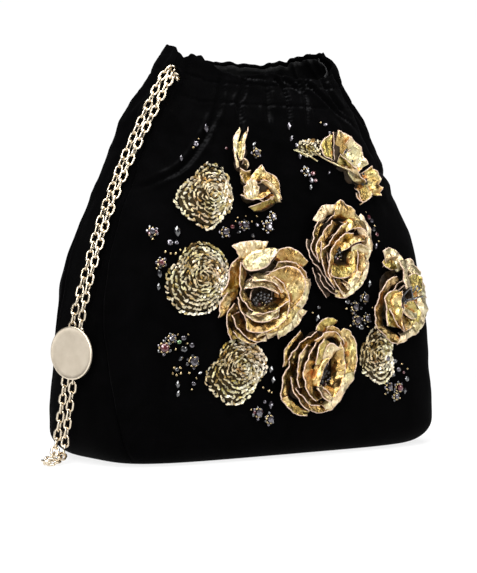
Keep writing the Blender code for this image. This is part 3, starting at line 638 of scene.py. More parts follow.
VELVET = velvet_material()
SATIN = satin_material()
CHAIN = metal_material("pale_gold_chain_looks", (0.86, 0.76, 0.60), (0.66, 0.55, 0.40), 0.20)
MEDAL = metal_material("satin_medallion_looks", (0.84, 0.74, 0.60), (0.76, 0.66, 0.52), 0.42, 0.06)
FOIL = foil_material("gold_foil_leather", (0.13, 0.065, 0.018), (0.44, 0.30, 0.11), (0.82, 0.68, 0.38), rough=0.26)
FOIL_PALE = foil_material("pale_foil_leather", (0.34, 0.25, 0.12), (0.70, 0.58, 0.36), (0.92, 0.86, 0.66), 0.88, 0.28, 0.45)
FOIL_OLIVE = foil_material("olive_foil_leather", (0.13, 0.085, 0.018), (0.42, 0.33, 0.10), (0.74, 0.65, 0.30), rough=0.27, hue=0.35)
FOIL_AMBER = foil_material("amber_foil_leather", (0.14, 0.055, 0.016), (0.36, 0.16, 0.05), (0.62, 0.36, 0.15), rough=0.36)
# painted shade: a near-black copy of the gold foil, for the petal feet, the backing under the petals, some filler
# petals and the 'D' petals, where shade falls
FOIL_PAINTED_SHADE = foil_material("shaded_foil_leather", (0.008, 0.0045, 0.002), (0.024, 0.014, 0.006), (0.060, 0.036, 0.015), 0.6, 0.55)
EDGE = edge_material()
FLAKE = foil_material("gold_flakes", (0.68, 0.58, 0.37), (0.94, 0.87, 0.69), (1.0, 0.97, 0.89), 0.66, 0.30, 0.25, 0.2)
FLAKE_WARM = foil_material("warm_flakes", (0.34, 0.25, 0.10), (0.66, 0.54, 0.27), (0.92, 0.84, 0.58), 0.78, 0.27, 0.5, 0.2)
# painted shade: a dark brown copy of the flake foil, given to flakes more often towards the middle and top of each
# blossom
FLAKE_PAINTED_SHADE = foil_material("shaded_flakes", (0.10, 0.066, 0.026), (0.24, 0.165, 0.07), (0.46, 0.36, 0.18), 0.82, 0.28, 0.5, 0.2)
# near-black net under the flakes, its darkness partly painted shade for the gaps between them
NET = metal_material("dark_net", (0.060, 0.042, 0.020), (0.020, 0.014, 0.007), 0.55, 0.4)
HEART = crystal_material("heart_stone_looks", (0.016, 0.014, 0.014), 1.45, 0.10, coat=0.0)
JET = crystal_material("jet_crystal_looks", (0.010, 0.010, 0.012), 2.0)
SMOKE = crystal_material("smoke_crystal_looks", (0.105, 0.095, 0.110), 2.0, metal=0.75)
GARNET = crystal_material("garnet_crystal_looks", (0.085, 0.016, 0.020), 1.8, metal=0.4)
GREEN = crystal_material("green_crystal_looks", (0.09, 0.17, 0.07), 2.0, metal=0.7)
SEED = metal_material("seed_bead_looks", (0.60, 0.48, 0.27), (0.16, 0.11, 0.05), 0.12)
BOARD = board_material()

# --------------------------------------------------------------------------
# drawstring chain
# --------------------------------------------------------------------------
def spline(points, step):
    p = np.asarray(points, float)
    p = np.vstack([2 * p[0] - p[1], p, 2 * p[-1] - p[-2]])
    dense = []
    for i in range(1, len(p) - 2):
        t = [0.0]
        for j in range(3):
            t.append(t[-1] + max(np.linalg.norm(p[i + j] - p[i + j - 1]), 1e-9) ** 0.5)
        for x in t[1] + (t[2] - t[1]) * np.arange(24) / 24:
            a1 = p[i - 1] * (t[1] - x) / (t[1] - t[0]) + p[i] * (x - t[0]) / (t[1] - t[0])
            a2 = p[i] * (t[2] - x) / (t[2] - t[1]) + p[i + 1] * (x - t[1]) / (t[2] - t[1])
            a3 = p[i + 1] * (t[3] - x) / (t[3] - t[2]) + p[i + 2] * (x - t[2]) / (t[3] - t[2])
            b1 = a1 * (t[2] - x) / (t[2] - t[0]) + a2 * (x - t[0]) / (t[2] - t[0])
            b2 = a2 * (t[3] - x) / (t[3] - t[1]) + a3 * (x - t[1]) / (t[3] - t[1])
            dense.append(b1 * (t[2] - x) / (t[2] - t[1]) + b2 * (x - t[1]) / (t[2] - t[1]))
    dense.append(p[-2])
    d = np.concatenate([[0], np.cumsum(np.linalg.norm(np.diff(dense, axis=0), axis=1))])
    dense = np.array(dense)
    n = max(int(round(d[-1] / step)), 2)
    at = np.linspace(0, d[-1], n + 1)
    return np.stack([np.interp(at, d, dense[:, k]) for k in range(3)], -1), d[-1]


slide_dir = unit(SLIDE_TOP - SLIDE_FOOT)


def on_slide(z):
    return SLIDE_FOOT + slide_dir * ((z - SLIDE_FOOT[2]) / slide_dir[2])


ACROSS = np.array([-math.sin(MEDAL_TURN), math.cos(MEDAL_TURN), 0.0])
exit_v = v_at(EXIT_Z)
exit_point = smooth_point(EXIT_U, exit_v)
exit_normal = normal(np.array([EXIT_U]), np.array([float(exit_v)]))[0]
STAND = CHAIN_D / 2 + 0.0009
down = []
for u, z, side in ((3.735, 0.2300, 0.0012), (3.730, 0.2200, 0.0014), (3.722, 0.2080, 0.0012),
                   (3.690, 0.1950, 0.0008), (3.658, 0.1800, 0.0006), (3.636, 0.1620, 0.0006),
                   (3.640, 0.1410, 0.0008), (3.634, 0.1170, 0.0012)):
    v = v_at(z)
    away = STAND + side + NECK_PLEAT / 2 * float(ease((z - 0.165) / 0.055))
    down.append((smooth_point(u, v) + normal(np.array([u]), np.array([float(v)]))[0] * away,
                 -unit(smooth_point(u + 0.02, v) - smooth_point(u - 0.02, v))))
mid = [(on_slide(z), ACROSS) for z in (0.0900, 0.0760, 0.0620, 0.0480, 0.0340, 0.0200)]
foot = on_slide(0.0120)
reach_dir = unit(np.array([LOOP_TIP[0] - foot[0], LOOP_TIP[1] - foot[1], 0.0]))
floor_side = np.array([-reach_dir[1], reach_dir[0], 0.0])
if floor_side[1] < 0:
    floor_side = -floor_side
lie_z = CHAIN_D / 2 + 0.0003
run = [(foot + reach_dir * 0.0006, unit(ACROSS + floor_side * 0.3)),
       (np.array([foot[0], foot[1], 0.0062]) + reach_dir * 0.0030, unit(ACROSS + floor_side)),
       (np.array([foot[0], foot[1], lie_z + 0.0006]) + reach_dir * 0.0085, floor_side),
       (np.array([foot[0], foot[1], lie_z]) + reach_dir * 0.0150, floor_side)]
half_gap = STRAND_GAP / 2
tip_mid = np.array([LOOP_TIP[0], LOOP_TIP[1], lie_z]) - reach_dir * (half_gap + CHAIN_D / 2)
exit_side = unit(np.array([0.0, 0.62, 0.79]))
route = [(exit_point - exit_normal * 0.0006, exit_side),
         (exit_point + exit_normal * (STAND + 0.0008), exit_side)] + down + mid + run
rear = [c + s * half_gap for c, s in route]
fore = [c - s * half_gap for c, s in route]
turn = [tip_mid + floor_side * half_gap * math.cos(a) + reach_dir * half_gap * math.sin(a)
        for a in [math.pi * i / 6 for i in range(7)]]
free_path, free_length = spline(rear + turn + fore[::-1], 0.0005)

start_rear = exit_point - exit_normal * 0.0012 + exit_side * half_gap
start_fore = exit_point - exit_normal * 0.0012 - exit_side * half_gap
around = []
steps = 40
for i in range(1, steps):
    u = EXIT_U - 0.09 - 3.82 * (i - 1) / (steps - 2)
    rise = 0.0030 * math.exp(-(4 * i / steps) ** 2 * 6) - 0.0030 * math.exp(-(4 * (steps - i) / steps) ** 2 * 6)
    v = v_at(casing_height(u) + rise)
    around.append(smooth_point(u, v) - normal(np.array([u]), np.array([float(v)]))[0] * CHAIN_DEPTH)
held_path, held_length = spline([start_rear, start_rear - exit_normal * 0.0042] + around
                                + [start_fore - exit_normal * 0.0042, start_fore], 0.0005)

LINK_PITCH, LINK_LONG, LINK_WIDE, WIRE = 0.00545, 0.0082, 0.0056, 0.00152


def link_mesh(long_, wide, wire, n=18, m=7):
    """One oval link in the XY plane, its long side along X."""
    r = wide / 2 - wire / 2
    half = long_ / 2 - wide / 2
    c = []
    for i in range(n):
        a = 2 * math.pi * (i + 0.5) / n
        c.append((half * (1 if math.cos(a) > 0 else -1) + r * math.cos(a), r * math.sin(a)))
    c = np.array(c)
    t = unit(np.roll(c, -1, 0) - np.roll(c, 1, 0))
    nrm = np.stack([t[:, 1], -t[:, 0]], -1)
    verts = []
    for i in range(n):
        for j in range(m):
            b = 2 * math.pi * j / m
            # wire slightly flattened on its faces, as drawn chain is
            verts.append((c[i, 0] + nrm[i, 0] * math.cos(b) * wire / 2,
                          c[i, 1] + nrm[i, 1] * math.cos(b) * wire / 2,
                          math.sin(b) * wire * 0.46))
    f = []
    for i in range(n):
        for j in range(m):
            i2, j2 = (i + 1) % n, (j + 1) % m
            f.append((i * m + j, i * m + j2, i2 * m + j2, i2 * m + j))
    return np.array(verts), np.array(f)


def chain(name, path, up_hint, phase=0, seed=3):
    g = np.random.default_rng(seed)
    d = np.concatenate([[0], np.cumsum(np.linalg.norm(np.diff(path, axis=0), axis=1))])
    count = int(round((d[-1] - LINK_LONG * 0.6) / LINK_PITCH)) + 1
    pitch = (d[-1] - LINK_LONG * 0.6) / (count - 1)
    lv, lf = link_mesh(LINK_LONG, LINK_WIDE, WIRE)
    V, F = [], []
    for i in range(count):
        at = LINK_LONG * 0.3 + i * pitch
        a, b = max(at - LINK_LONG * 0.32, 0), min(at + LINK_LONG * 0.32, d[-1])
        pa = np.array([np.interp(a, d, path[:, k]) for k in range(3)])
        pb = np.array([np.interp(b, d, path[:, k]) for k in range(3)])
        t = unit(pb - pa)
        up = up_hint((pa + pb) / 2, t)
        up = unit(up - t * (up @ t))
        side = np.cross(up, t)
        ang = (math.pi / 2 if (i + phase) % 2 else 0.0) + g.normal(0, 0.10)
        nz = up * math.cos(ang) + side * math.sin(ang)
        ny = np.cross(nz, t)
        yaw = g.normal(0, 0.035)
        t2 = unit(t * math.cos(yaw) + ny * math.sin(yaw))
        ny2 = np.cross(nz, t2)
        V.append((pa + pb) / 2 + lv[:, :1] * t2 + lv[:, 1:2] * ny2 + lv[:, 2:3] * nz)
        F.append(lf + i * len(lv))
    return make(name, np.vstack(V), np.vstack(F), CHAIN), count


# links that lie on the side face outwards; on the floor they face up
def face_out(p, t):
    if p[2] < 0.012:
        w = (0.012 - p[2]) / 0.009
        return np.array([-0.55, -0.6, 0.0]) * (1 - w) + np.array([0, 0, 1.0]) * w + np.array([0.3, -0.3, 0]) * w
    return np.array([-math.cos(MEDAL_TURN + 0.35), -math.sin(MEDAL_TURN + 0.35), 0.15])


drop, drop_links = chain("chain_drop_links", free_path, face_out, 0, 7)
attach(drop, "pouch")
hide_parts("chain_drop")

neck_mid = np.array([0, 0, 0.226])


def face_neck(p, t):
    return unit(p - neck_mid) + np.array([0, 0, 0.4])


held, held_links = chain("chain_in_casing_links", held_path, face_neck, 0, 8)
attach(held, "pouch")
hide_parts("chain_in_casing")

# --------------------------------------------------------------------------
# slider
# --------------------------------------------------------------------------
facing = np.array([-math.cos(MEDAL_TURN), -math.sin(MEDAL_TURN), 0.0])
facing = unit(facing - slide_dir * (facing @ slide_dir))
side_dir = np.cross(slide_dir, facing)


def turned(name, prof, steps, mat, origin):
    """Profile (r, z) turned about the medallion's axis."""
    P, n = [], len(prof)
    for i in range(steps):
        a = 2 * math.pi * i / steps
        for r, z in prof:
            P.append(origin + side_dir * r * math.cos(a) + slide_dir * r * math.sin(a) + facing * z)
    f = []
    for i in range(steps):
        k = (i + 1) % steps
        for j in range(n - 1):
            f.append((i * n + j, k * n + j, k * n + j + 1, i * n + j + 1))
    f.append(tuple(i * n + n - 1 for i in range(steps)))
    f.append(tuple(i * n for i in range(steps - 1, -1, -1)))
    return make(name, P, f, mat, fix=True)


R = MEDAL_D / 2
prof = [(0.6 * R, 0.0), (R - 0.0012, 0.0)]
prof += [(R - 0.0007 + 0.0007 * math.sin(a), 0.0007 - 0.0007 * math.cos(a)) for a in np.linspace(0.2, math.pi / 2, 5)]
prof += [(R - 0.0006 + 0.0006 * math.cos(a), MEDAL_T - 0.0006 + 0.0006 * math.sin(a)) for a in np.linspace(0.1, math.pi / 2, 6)]
prof += [(R - 0.0010, MEDAL_T - 0.00002), (R - 0.0014, MEDAL_T - 0.00014), (R - 0.0018, MEDAL_T - 0.00022),
         (R - 0.0030, MEDAL_T - 0.00024), (R * 0.5, MEDAL_T - 0.00020)]
medal_at = on_slide(MEDAL_Z) + facing * (SLEEVE_D / 2 + 0.0006 + POST) + side_dir * MEDAL_SHIFT
medal = turned("medallion_looks", prof, 96, MEDAL, medal_at)
medal.data.set_sharp_from_angle(angle=math.radians(50))
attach(medal, "slider")
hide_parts("medallion_disc")
for n in ("slider_sleeve", "medallion_post_left", "medallion_post_right"):
    o = frame["nodes"][n] if isinstance(frame["nodes"], dict) else bpy.data.objects[n]
    o = o if isinstance(o, bpy.types.Object) else bpy.data.objects[n]
    for s in range(max(len(o.material_slots), 1)):
        if not o.material_slots:
            o.data.materials.append(MEDAL)
        else:
            o.material_slots[s].material = MEDAL

# --------------------------------------------------------------------------
# velvet panels, lining, base
# --------------------------------------------------------------------------
HEM_ROWS = 5


def panel(name, k, cols, rows):
    lean_of = lambda v: seam_shift(v) * (1 if k % 2 == 0 else -1)
    w = np.linspace(0, 1, cols)[None, :]
    low = np.linspace(0, 1, 13)[:-1] * QUARTER
    t = np.linspace(0, 1, rows - 12)
    t = 1.55 * t - 0.55 * t * t
    U = np.full((rows, cols), k + 0.5)
    for _ in range(3):
        top = v_at(rim_height(U[-1]))[None, :] - 0.0006
        V = np.vstack([np.repeat(low[:, None], cols, 1), QUARTER + (top - QUARTER) * t[:, None]])
        lean = lean_of(V)
        U = k - lean + w * (1 + 2 * lean)
    gap = 0.00018 / side_length(k, V)
    U = U + np.where(w == 0, gap, 0) - np.where(w == 1, gap, 0)
    P = smooth_point(U, V)
    N = normal(U, V)
    rel = relief(U, V, P)
    thick = 0.0019
    outer = P + N * rel[..., None]
    inner = P + N * (rel - thick)[..., None]
    hem = []
    for a in np.linspace(0, math.pi, HEM_ROWS + 2)[1:-1]:
        base = (outer[-1] + inner[-1]) / 2 + (outer[-1] - inner[-1]) / 2 * math.cos(a)
        hem.append(base + np.array([0, 0, thick / 2 * math.sin(a)]))
    strip = np.concatenate([outer, np.array(hem), inner[::-1]], 0)
    total = len(strip)
    verts = strip.reshape(-1, 3)
    f = quads(total, cols).tolist()
    # bottom edge and the two seam edges
    for c in range(cols - 1):
        a, b = c, c + 1
        a2, b2 = (total - 1) * cols + c, (total - 1) * cols + c + 1
        f.append((a2, b2, b, a))
    for c in (0, cols - 1):
        ids = lambda r: r * cols + c
        for r in range(rows - 1):
            q = (ids(r), ids(r + 1), ids(total - 2 - r), ids(total - 1 - r))
            f.append(q if c else q[::-1])
        cap = [ids(r) for r in range(rows - 1, rows + HEM_ROWS + 1)]
        f.append(tuple(cap if c else cap[::-1]))
    obj = make(name + "_velvet", verts, f, VELVET, fix=True)
    # painted highlight: the velvet is given a lighter colour on the upper shoulder of each crease, on the walls facing
    # up and to the front left, where the light falls
    tilt = unit(np.cross(np.gradient(outer, axis=1), np.gradient(outer, axis=0)))
    tilt = tilt * np.sign((tilt * N).sum(-1, keepdims=True)) - N
    painted_crease_highlight = np.zeros(strip.shape[:2])
    painted_crease_highlight[:rows] = ease(np.abs(crease_relief(P)) / 0.0003) * ease((tilt @ np.array([-0.40, -0.30, 0.87]) - 0.14) / 0.34)
    if len(obj.data.vertices) == painted_crease_highlight.size:
        obj.data.attributes.new("painted_crease_highlight", "FLOAT", "POINT").data.foreach_set("value", painted_crease_highlight.ravel())
    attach(obj, "pouch")
    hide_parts(name)
    return obj


front = panel("front_panel", 0, 222, 200)
rightp = panel("right_gusset", 1, 64, 160)
backp = panel("back_panel", 2, 150, 160)
leftp = panel("left_gusset", 3, 70, 190)

# opening for the chain, on the left seam
bpy.ops.mesh.primitive_cylinder_add(vertices=40, radius=1.0, depth=0.016)
cutter = bpy.context.object
along = exit_side - exit_normal * (exit_side @ exit_normal)
along = along / np.linalg.norm(along)
over = np.cross(exit_normal, along)
turn_m = Matrix((along.tolist(), over.tolist(), exit_normal.tolist())).transposed().to_4x4()
cutter.matrix_world = Matrix.Translation(exit_point.tolist()) @ turn_m @ Matrix.Diagonal((0.0066, 0.0034, 1.0, 1.0))
bpy.context.view_layer.update()
for target_obj in (front, leftp):
    mod = target_obj.modifiers.new("opening", "BOOLEAN")
    mod.operation = "DIFFERENCE"
    mod.solver = "EXACT"
    mod.object = cutter
    dg = bpy.context.evaluated_depsgraph_get()
    cut = bpy.data.meshes.new_from_object(target_obj.evaluated_get(dg))
    target_obj.modifiers.clear()
    target_obj.data = cut
    cut.polygons.foreach_set("use_smooth", np.ones(len(cut.polygons), bool))
    cut.set_sharp_from_angle(angle=math.radians(55))
bpy.data.objects.remove(cutter, do_unlink=True)

# lining
LC, LR = 150, 90
U = np.repeat((np.arange(LC) * 4.0 / LC)[None, :], LR, 0)
rim, cas = v_at(rim_height(U[0])), v_at(casing_height(U[0]))
t = np.linspace(0, 1, LR)[:, None]
V = QUARTER * 0.45 + (rim - 0.0012 - QUARTER * 0.45)[None, :] * t
depth = 0.0029 + 0.0015 * ease((V - (cas - 0.045)) / 0.032)
bulge = ease((V - (cas - 0.0122)) / 0.0070) * ease(((cas + 0.0088) - V) / 0.0036)
depth = depth + (CHAIN_DEPTH + CHAIN_D / 2 + 0.0006 - 0.0044) * bulge
depth = depth + 0.0009 * ease((QUARTER * 1.6 - V) / (QUARTER * 1.2))
P, N = smooth_point(U, V), normal(U, V)
soft = 0.0007 * (noise3(P * np.array([1.6, 1.6, 0.5]), 0.016, 21, 2) * 0.5 + 0.5) * ease((V - QUARTER) / 0.03)
soft = soft - np.minimum(relief(U, V, P), 0) * (1 - bulge)
outer = P - N * (depth + soft)[..., None]
inner = P - N * (depth + soft + 0.0008)[..., None]
floor_z = 0.0041 + 0.0001


def bowl(ring, z):
    out = []
    for f in (0.985, 0.90, 0.70, 0.40):
        q = ring.copy()
        q[:, 0] *= f
        q[:, 1] *= f - 0.02
        q[:, 2] = z + 0.0006 * (noise3(q, 0.03, 33, 2) * 0.5 + 0.5) * (1 - f) * 2
        out.append(q)
    return np.array(out[::-1])


go = np.concatenate([bowl(outer[0], floor_z), outer], 0)
gi = np.concatenate([bowl(inner[0], floor_z + 0.0008), inner], 0)
rows = len(go)
strip = np.concatenate([go, gi[::-1]], 0)
f = quads(len(strip), LC, closed=True).tolist()
f.append(tuple(range(LC - 1, -1, -1)))
f.append(tuple((len(strip) - 1) * LC + i for i in range(LC)))
lining = make("lining_satin", strip.reshape(-1, 3), f, SATIN, fix=True)
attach(lining, "pouch")
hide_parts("lining")

# base: velvet sheet with a soft edge
BC = 160
us = np.arange(BC) * 4.0 / BC
edge = smooth_point(us, np.zeros(BC) + 1e-7)
levels = []
for f_, z in ((0.0, 0.0001), (0.5, 0.0001), (0.86, 0.0001), (0.975, 0.00005), (0.9925, 0.00025), (0.9975, 0.0009),
              (0.9925, 0.0016), (0.86, 0.0018), (0.0, 0.0018)):
    q = edge.copy()
    q[:, :2] *= max(f_, 0.02)
    q[:, 2] = z
    levels.append(q)
strip = np.array(levels)
f = quads(len(strip), BC, closed=True).tolist()
f.append(tuple(range(BC - 1, -1, -1)))
f.append(tuple((len(strip) - 1) * BC + i for i in range(BC)))
base = make("base_panel_velvet", strip.reshape(-1, 3), f, VELVET, fix=True)
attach(base, "pouch")
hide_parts("base_panel")
board = bpy.data.objects["base_board"]
if board.material_slots:
    board.material_slots[0].material = BOARD
else:
    board.data.materials.append(BOARD)


# --------------------------------------------------------------------------
# appliques: helpers
# --------------------------------------------------------------------------
def on_wall(s0, v0, x, y, h):
    v = v0 + np.asarray(y, float)
    u = u_of(s0 + np.asarray(x, float), v)
    return smooth_point(u % 4, v) + normal(u % 4, v) * np.asarray(h, float)[..., None]


class Heap:
    """Parts of one piece, joined as they are made."""

    def __init__(self):
        self.v, self.f, self.m, self.s, self.n = [], [], [], [], 0

    def add(self, verts, faces, mat=0, smooth=True):
        verts = np.asarray(verts, float).reshape(-1, 3)
        self.v.append(verts)
        self.f += [tuple(int(i) + self.n for i in q) for q in faces]
        k = len(faces)
        self.m += list(mat) if isinstance(mat, (list, np.ndarray)) else [mat] * k
        self.s += [smooth] * k
        self.n += len(verts)

    def done(self, name, mats, stands_for=None):
        obj = make(name, np.vstack(self.v), self.f, mats, self.m)
        obj.data.polygons.foreach_set("use_smooth", np.array(self.s, bool))
        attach(obj, "pouch")
        if stands_for:
            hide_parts(stands_for)
        return obj


def strip_sheet(heap, G, thick, face_mat=0, rim_mat=1, rim_rows=1):
    """A grid of points (rows, cols, 3) as leather: two faces and a raw edge all round."""
    rows, cols = G.shape[:2]
    du = np.gradient(G, axis=1)
    dv = np.gradient(G, axis=0)
    n = unit(np.cross(du, dv))
    n[~np.isfinite(n)] = 0
    a, b = G + n * thick / 2, G - n * thick / 2
    verts = np.concatenate([a.reshape(-1, 3), b.reshape(-1, 3)])
    off = rows * cols
    q = quads(rows, cols)
    qb = quads(rows, cols, start=off, flip=True)
    mats = np.full(len(q), face_mat)
    mats[(rows - 1 - rim_rows) * (cols - 1):] = rim_mat
    f = q.tolist() + qb.tolist()
    m = mats.tolist() + mats.tolist()
    edge_ = []
    for c in range(cols - 1):
        edge_.append(((rows - 1) * cols + c, (rows - 1) * cols + c + 1, off + (rows - 1) * cols + c + 1, off + (rows - 1) * cols + c))
        edge_.append((c + 1, c, off + c, off + c + 1))
    for r in range(rows - 1):
        edge_.append((r * cols, (r + 1) * cols, off + (r + 1) * cols, off + r * cols))
        edge_.append(((r + 1) * cols + cols - 1, r * cols + cols - 1, off + r * cols + cols - 1, off + (r + 1) * cols + cols - 1))
    heap.add(verts, f + edge_, m + [rim_mat] * len(edge_))


PETAL_T = np.array([0, 0.12, 0.26, 0.40, 0.54, 0.67, 0.79, 0.89, 0.972, 1.0])


def petal(heap, at, centre, a0, a1, r0, r1, length, lean0, lean1, h0=0.0008, ends=(0.30, 0.16),
          frill=0.0, waves=3.0, phase=0.0, squash=(1.0, 1.0), turn=0.0, curl=0.0, crumple=0.0003,
          cols=30, thick=0.00062, seed=0, tip=0.0, mat=0, rim_mat=1):
    """A strip of leather standing on an arc; angles in degrees, sizes in metres."""
    w = np.linspace(0, 1, cols)
    a = np.radians(a0 + (a1 - a0) * w)
    rb = r0 + (r1 - r0) * w
    env = np.clip(w / ends[0], 0, 1) ** 0.55 * np.clip((1 - w) / ends[1], 0, 1) ** 0.55
    env = 0.10 + 0.90 * env
    env = env * (1 + tip * np.exp(-((w - 0.62) / 0.10) ** 2))
    env = env * (1 + 0.05 * np.sin(waves * 2.3 * math.pi * w + phase * 2.1))
    t = PETAL_T
    tt = t[:, None]
    ph = np.radians(lean0 + (lean1 - lean0) * tt ** 1.4 + curl * np.clip((tt - 0.7) / 0.3, 0, 1) ** 2)
    ph = ph + frill * np.sin(waves * 2 * math.pi * w + phase)[None] * tt ** 1.6
    dl = np.diff(np.concatenate([[0], t]))[:, None] * length * env[None]
    r = rb[None] + np.cumsum(np.sin(ph) * dl, 0)
    h = h0 + np.cumsum(np.cos(ph) * dl, 0)
    aa = a[None] + frill * 0.10 * np.cos(waves * 2 * math.pi * w + phase)[None] * tt ** 2
    x = r * np.cos(aa) * squash[0]
    y = r * np.sin(aa) * squash[1]
    c, s = math.cos(math.radians(turn)), math.sin(math.radians(turn))
    x, y = x * c - y * s + centre[0], x * s + y * c + centre[1]
    h = np.maximum(h, 0.0006)
    G = on_wall(at[0], at[1], x, y, h)
    n = unit(np.cross(np.gradient(G, axis=1), np.gradient(G, axis=0)))
    d = crumple * (noise3(G * 1.0, 0.0075, 100 + seed, 2) + 0.5 * noise3(G, 0.0028, 300 + seed, 1))
    G = G + n * (d * np.minimum(1, tt * 3))[..., None]
    strip_sheet(heap, G, thick, mat, rim_mat)


def gem(heap, at, x, y, h, size, long_=1.0, turn=0.0, mat=2, sides=8, squash=0.75, lean=0.0):
    """A faceted stone: table, crown, girdle and point, flat sided."""
    c, s = math.cos(math.radians(turn)), math.sin(math.radians(turn))
    r = size / 2
    rings = [(0.45, 0.62), (0.86, 0.36), (1.0, 0.0), (0.80, -0.38), (0.30, -0.72)]
    L = []
    for k, (rr, hh) in enumerate(rings):
        for i in range(sides):
            a = 2 * math.pi * (i + 0.5 * (k % 2)) / sides
            px, py = rr * math.cos(a) * r * long_, rr * math.sin(a) * r
            L.append((px * c - py * s, px * s + py * c, hh * r * squash + lean * px))
    L = np.array(L)
    P = on_wall(at[0], at[1], x + L[:, 0], y + L[:, 1], h + L[:, 2])
    f = [tuple(range(sides))]
    for k in range(len(rings) - 1):
        for i in range(sides):
            j = (i + 1) % sides
            if k % 2 == 0:
                f.append((k * sides + i, (k + 1) * sides + i, k * sides + j))
                f.append((k * sides + j, (k + 1) * sides + i, (k + 1) * sides + j))
            else:
                f.append((k * sides + i, (k + 1) * sides + i, (k + 1) * sides + j))
                f.append((k * sides + i, (k + 1) * sides + j, k * sides + j))
    f.append(tuple(range(len(rings) * sides - 1, (len(rings) - 1) * sides - 1, -1)))
    heap.add(P, f, mat, smooth=False)


def bicone(heap, at, x, y, h, size, long_=1.6, turn=0.0, mat=2, sides=6):
    """A bead pointed at both ends, lying on the cloth."""
    c, s = math.cos(math.radians(turn)), math.sin(math.radians(turn))
    r = size / 2
    stations = [(-1.0, 0.22), (-0.42, 0.78), (0.0, 1.0), (0.42, 0.78), (1.0, 0.22)]
    L = []
    for k, (q, rr) in enumerate(stations):
        for i in range(sides):
            a = 2 * math.pi * (i + 0.5 * (k % 2)) / sides
            px, py, ph_ = q * r * long_, rr * r * math.cos(a), rr * r * math.sin(a)
            L.append((px * c - py * s, px * s + py * c, ph_))
    L = np.array(L)
    P = on_wall(at[0], at[1], x + L[:, 0], y + L[:, 1], h + L[:, 2])
    f = [tuple(range(sides - 1, -1, -1)), tuple(range((len(stations) - 1) * sides, len(stations) * sides))]
    for k in range(len(stations) - 1):
        for i in range(sides):
            j = (i + 1) % sides
            if k % 2 == 0:
                f += [(k * sides + i, k * sides + j, (k + 1) * sides + i), (k * sides + j, (k + 1) * sides + j, (k + 1) * sides + i)]
            else:
                f += [(k * sides + i, k * sides + j, (k + 1) * sides + j), (k * sides + i, (k + 1) * sides + j, (k + 1) * sides + i)]
    heap.add(P, f, mat, smooth=False)


def seed_bead(heap, at, x, y, h, size, mat=3, turn=0.0):
    """A small round bead with its hole, lying on its side."""
    r = size / 2
    prof = []
    for b in np.linspace(0, 2 * math.pi, 7)[:-1]:
        prof.append((0.62 * r + 0.40 * r * math.cos(b), 0.62 * r * math.sin(b)))
    n, k = 9, len(prof)
    c, s = math.cos(turn), math.sin(turn)
    L = []
    for i in range(n):
        a = 2 * math.pi * i / n
        for rr, ax in prof:
            q0, q1, q2 = ax, rr * math.cos(a), rr * math.sin(a)
            L.append((q0 * c - q1 * s, q0 * s + q1 * c, q2))
    L = np.array(L)
    P = on_wall(at[0], at[1], x + L[:, 0], y + L[:, 1], h + L[:, 2])
    f = []
    for i in range(n):
        for j in range(k):
            i2, j2 = (i + 1) % n, (j + 1) % k
            f.append((i * k + j, i2 * k + j, i2 * k + j2, i * k + j2))
    heap.add(P, f, mat, smooth=True)


def wire(heap, at, points, radius, mat, sides=6):
    """A thin stem along points (x, y, h)."""
    p = np.array(points, float)
    t = np.linspace(0, 1, len(p) * 6)
    q = np.stack([np.interp(t, np.linspace(0, 1, len(p)), p[:, k]) for k in range(3)], -1)
    for _ in range(3):
        q[1:-1] = (q[:-2] + q[1:-1] * 2 + q[2:]) / 4
    W = on_wall(at[0], at[1], q[:, 0], q[:, 1], q[:, 2])
    tan = unit(np.gradient(W, axis=0))
    up = unit(np.cross(tan, np.array([0.31, 0.2, 0.93])))
    bi = np.cross(tan, up)
    V = []
    for i in range(len(W)):
        for j in range(sides):
            b = 2 * math.pi * j / sides
            V.append(W[i] + (up[i] * math.cos(b) + bi[i] * math.sin(b)) * radius)
    f = quads(len(W), sides, closed=True).tolist()
    f.append(tuple(range(sides)))
    f.append(tuple(range(len(W) * sides - 1, (len(W) - 1) * sides - 1, -1)))
    heap.add(V, f, mat)


def spot(u, z):
    """A place on the front as (length from the middle, length up the wall)."""
    u = u - 4 if u > 2 else u
    return float(s_of(u, z)), float(v_at(z))


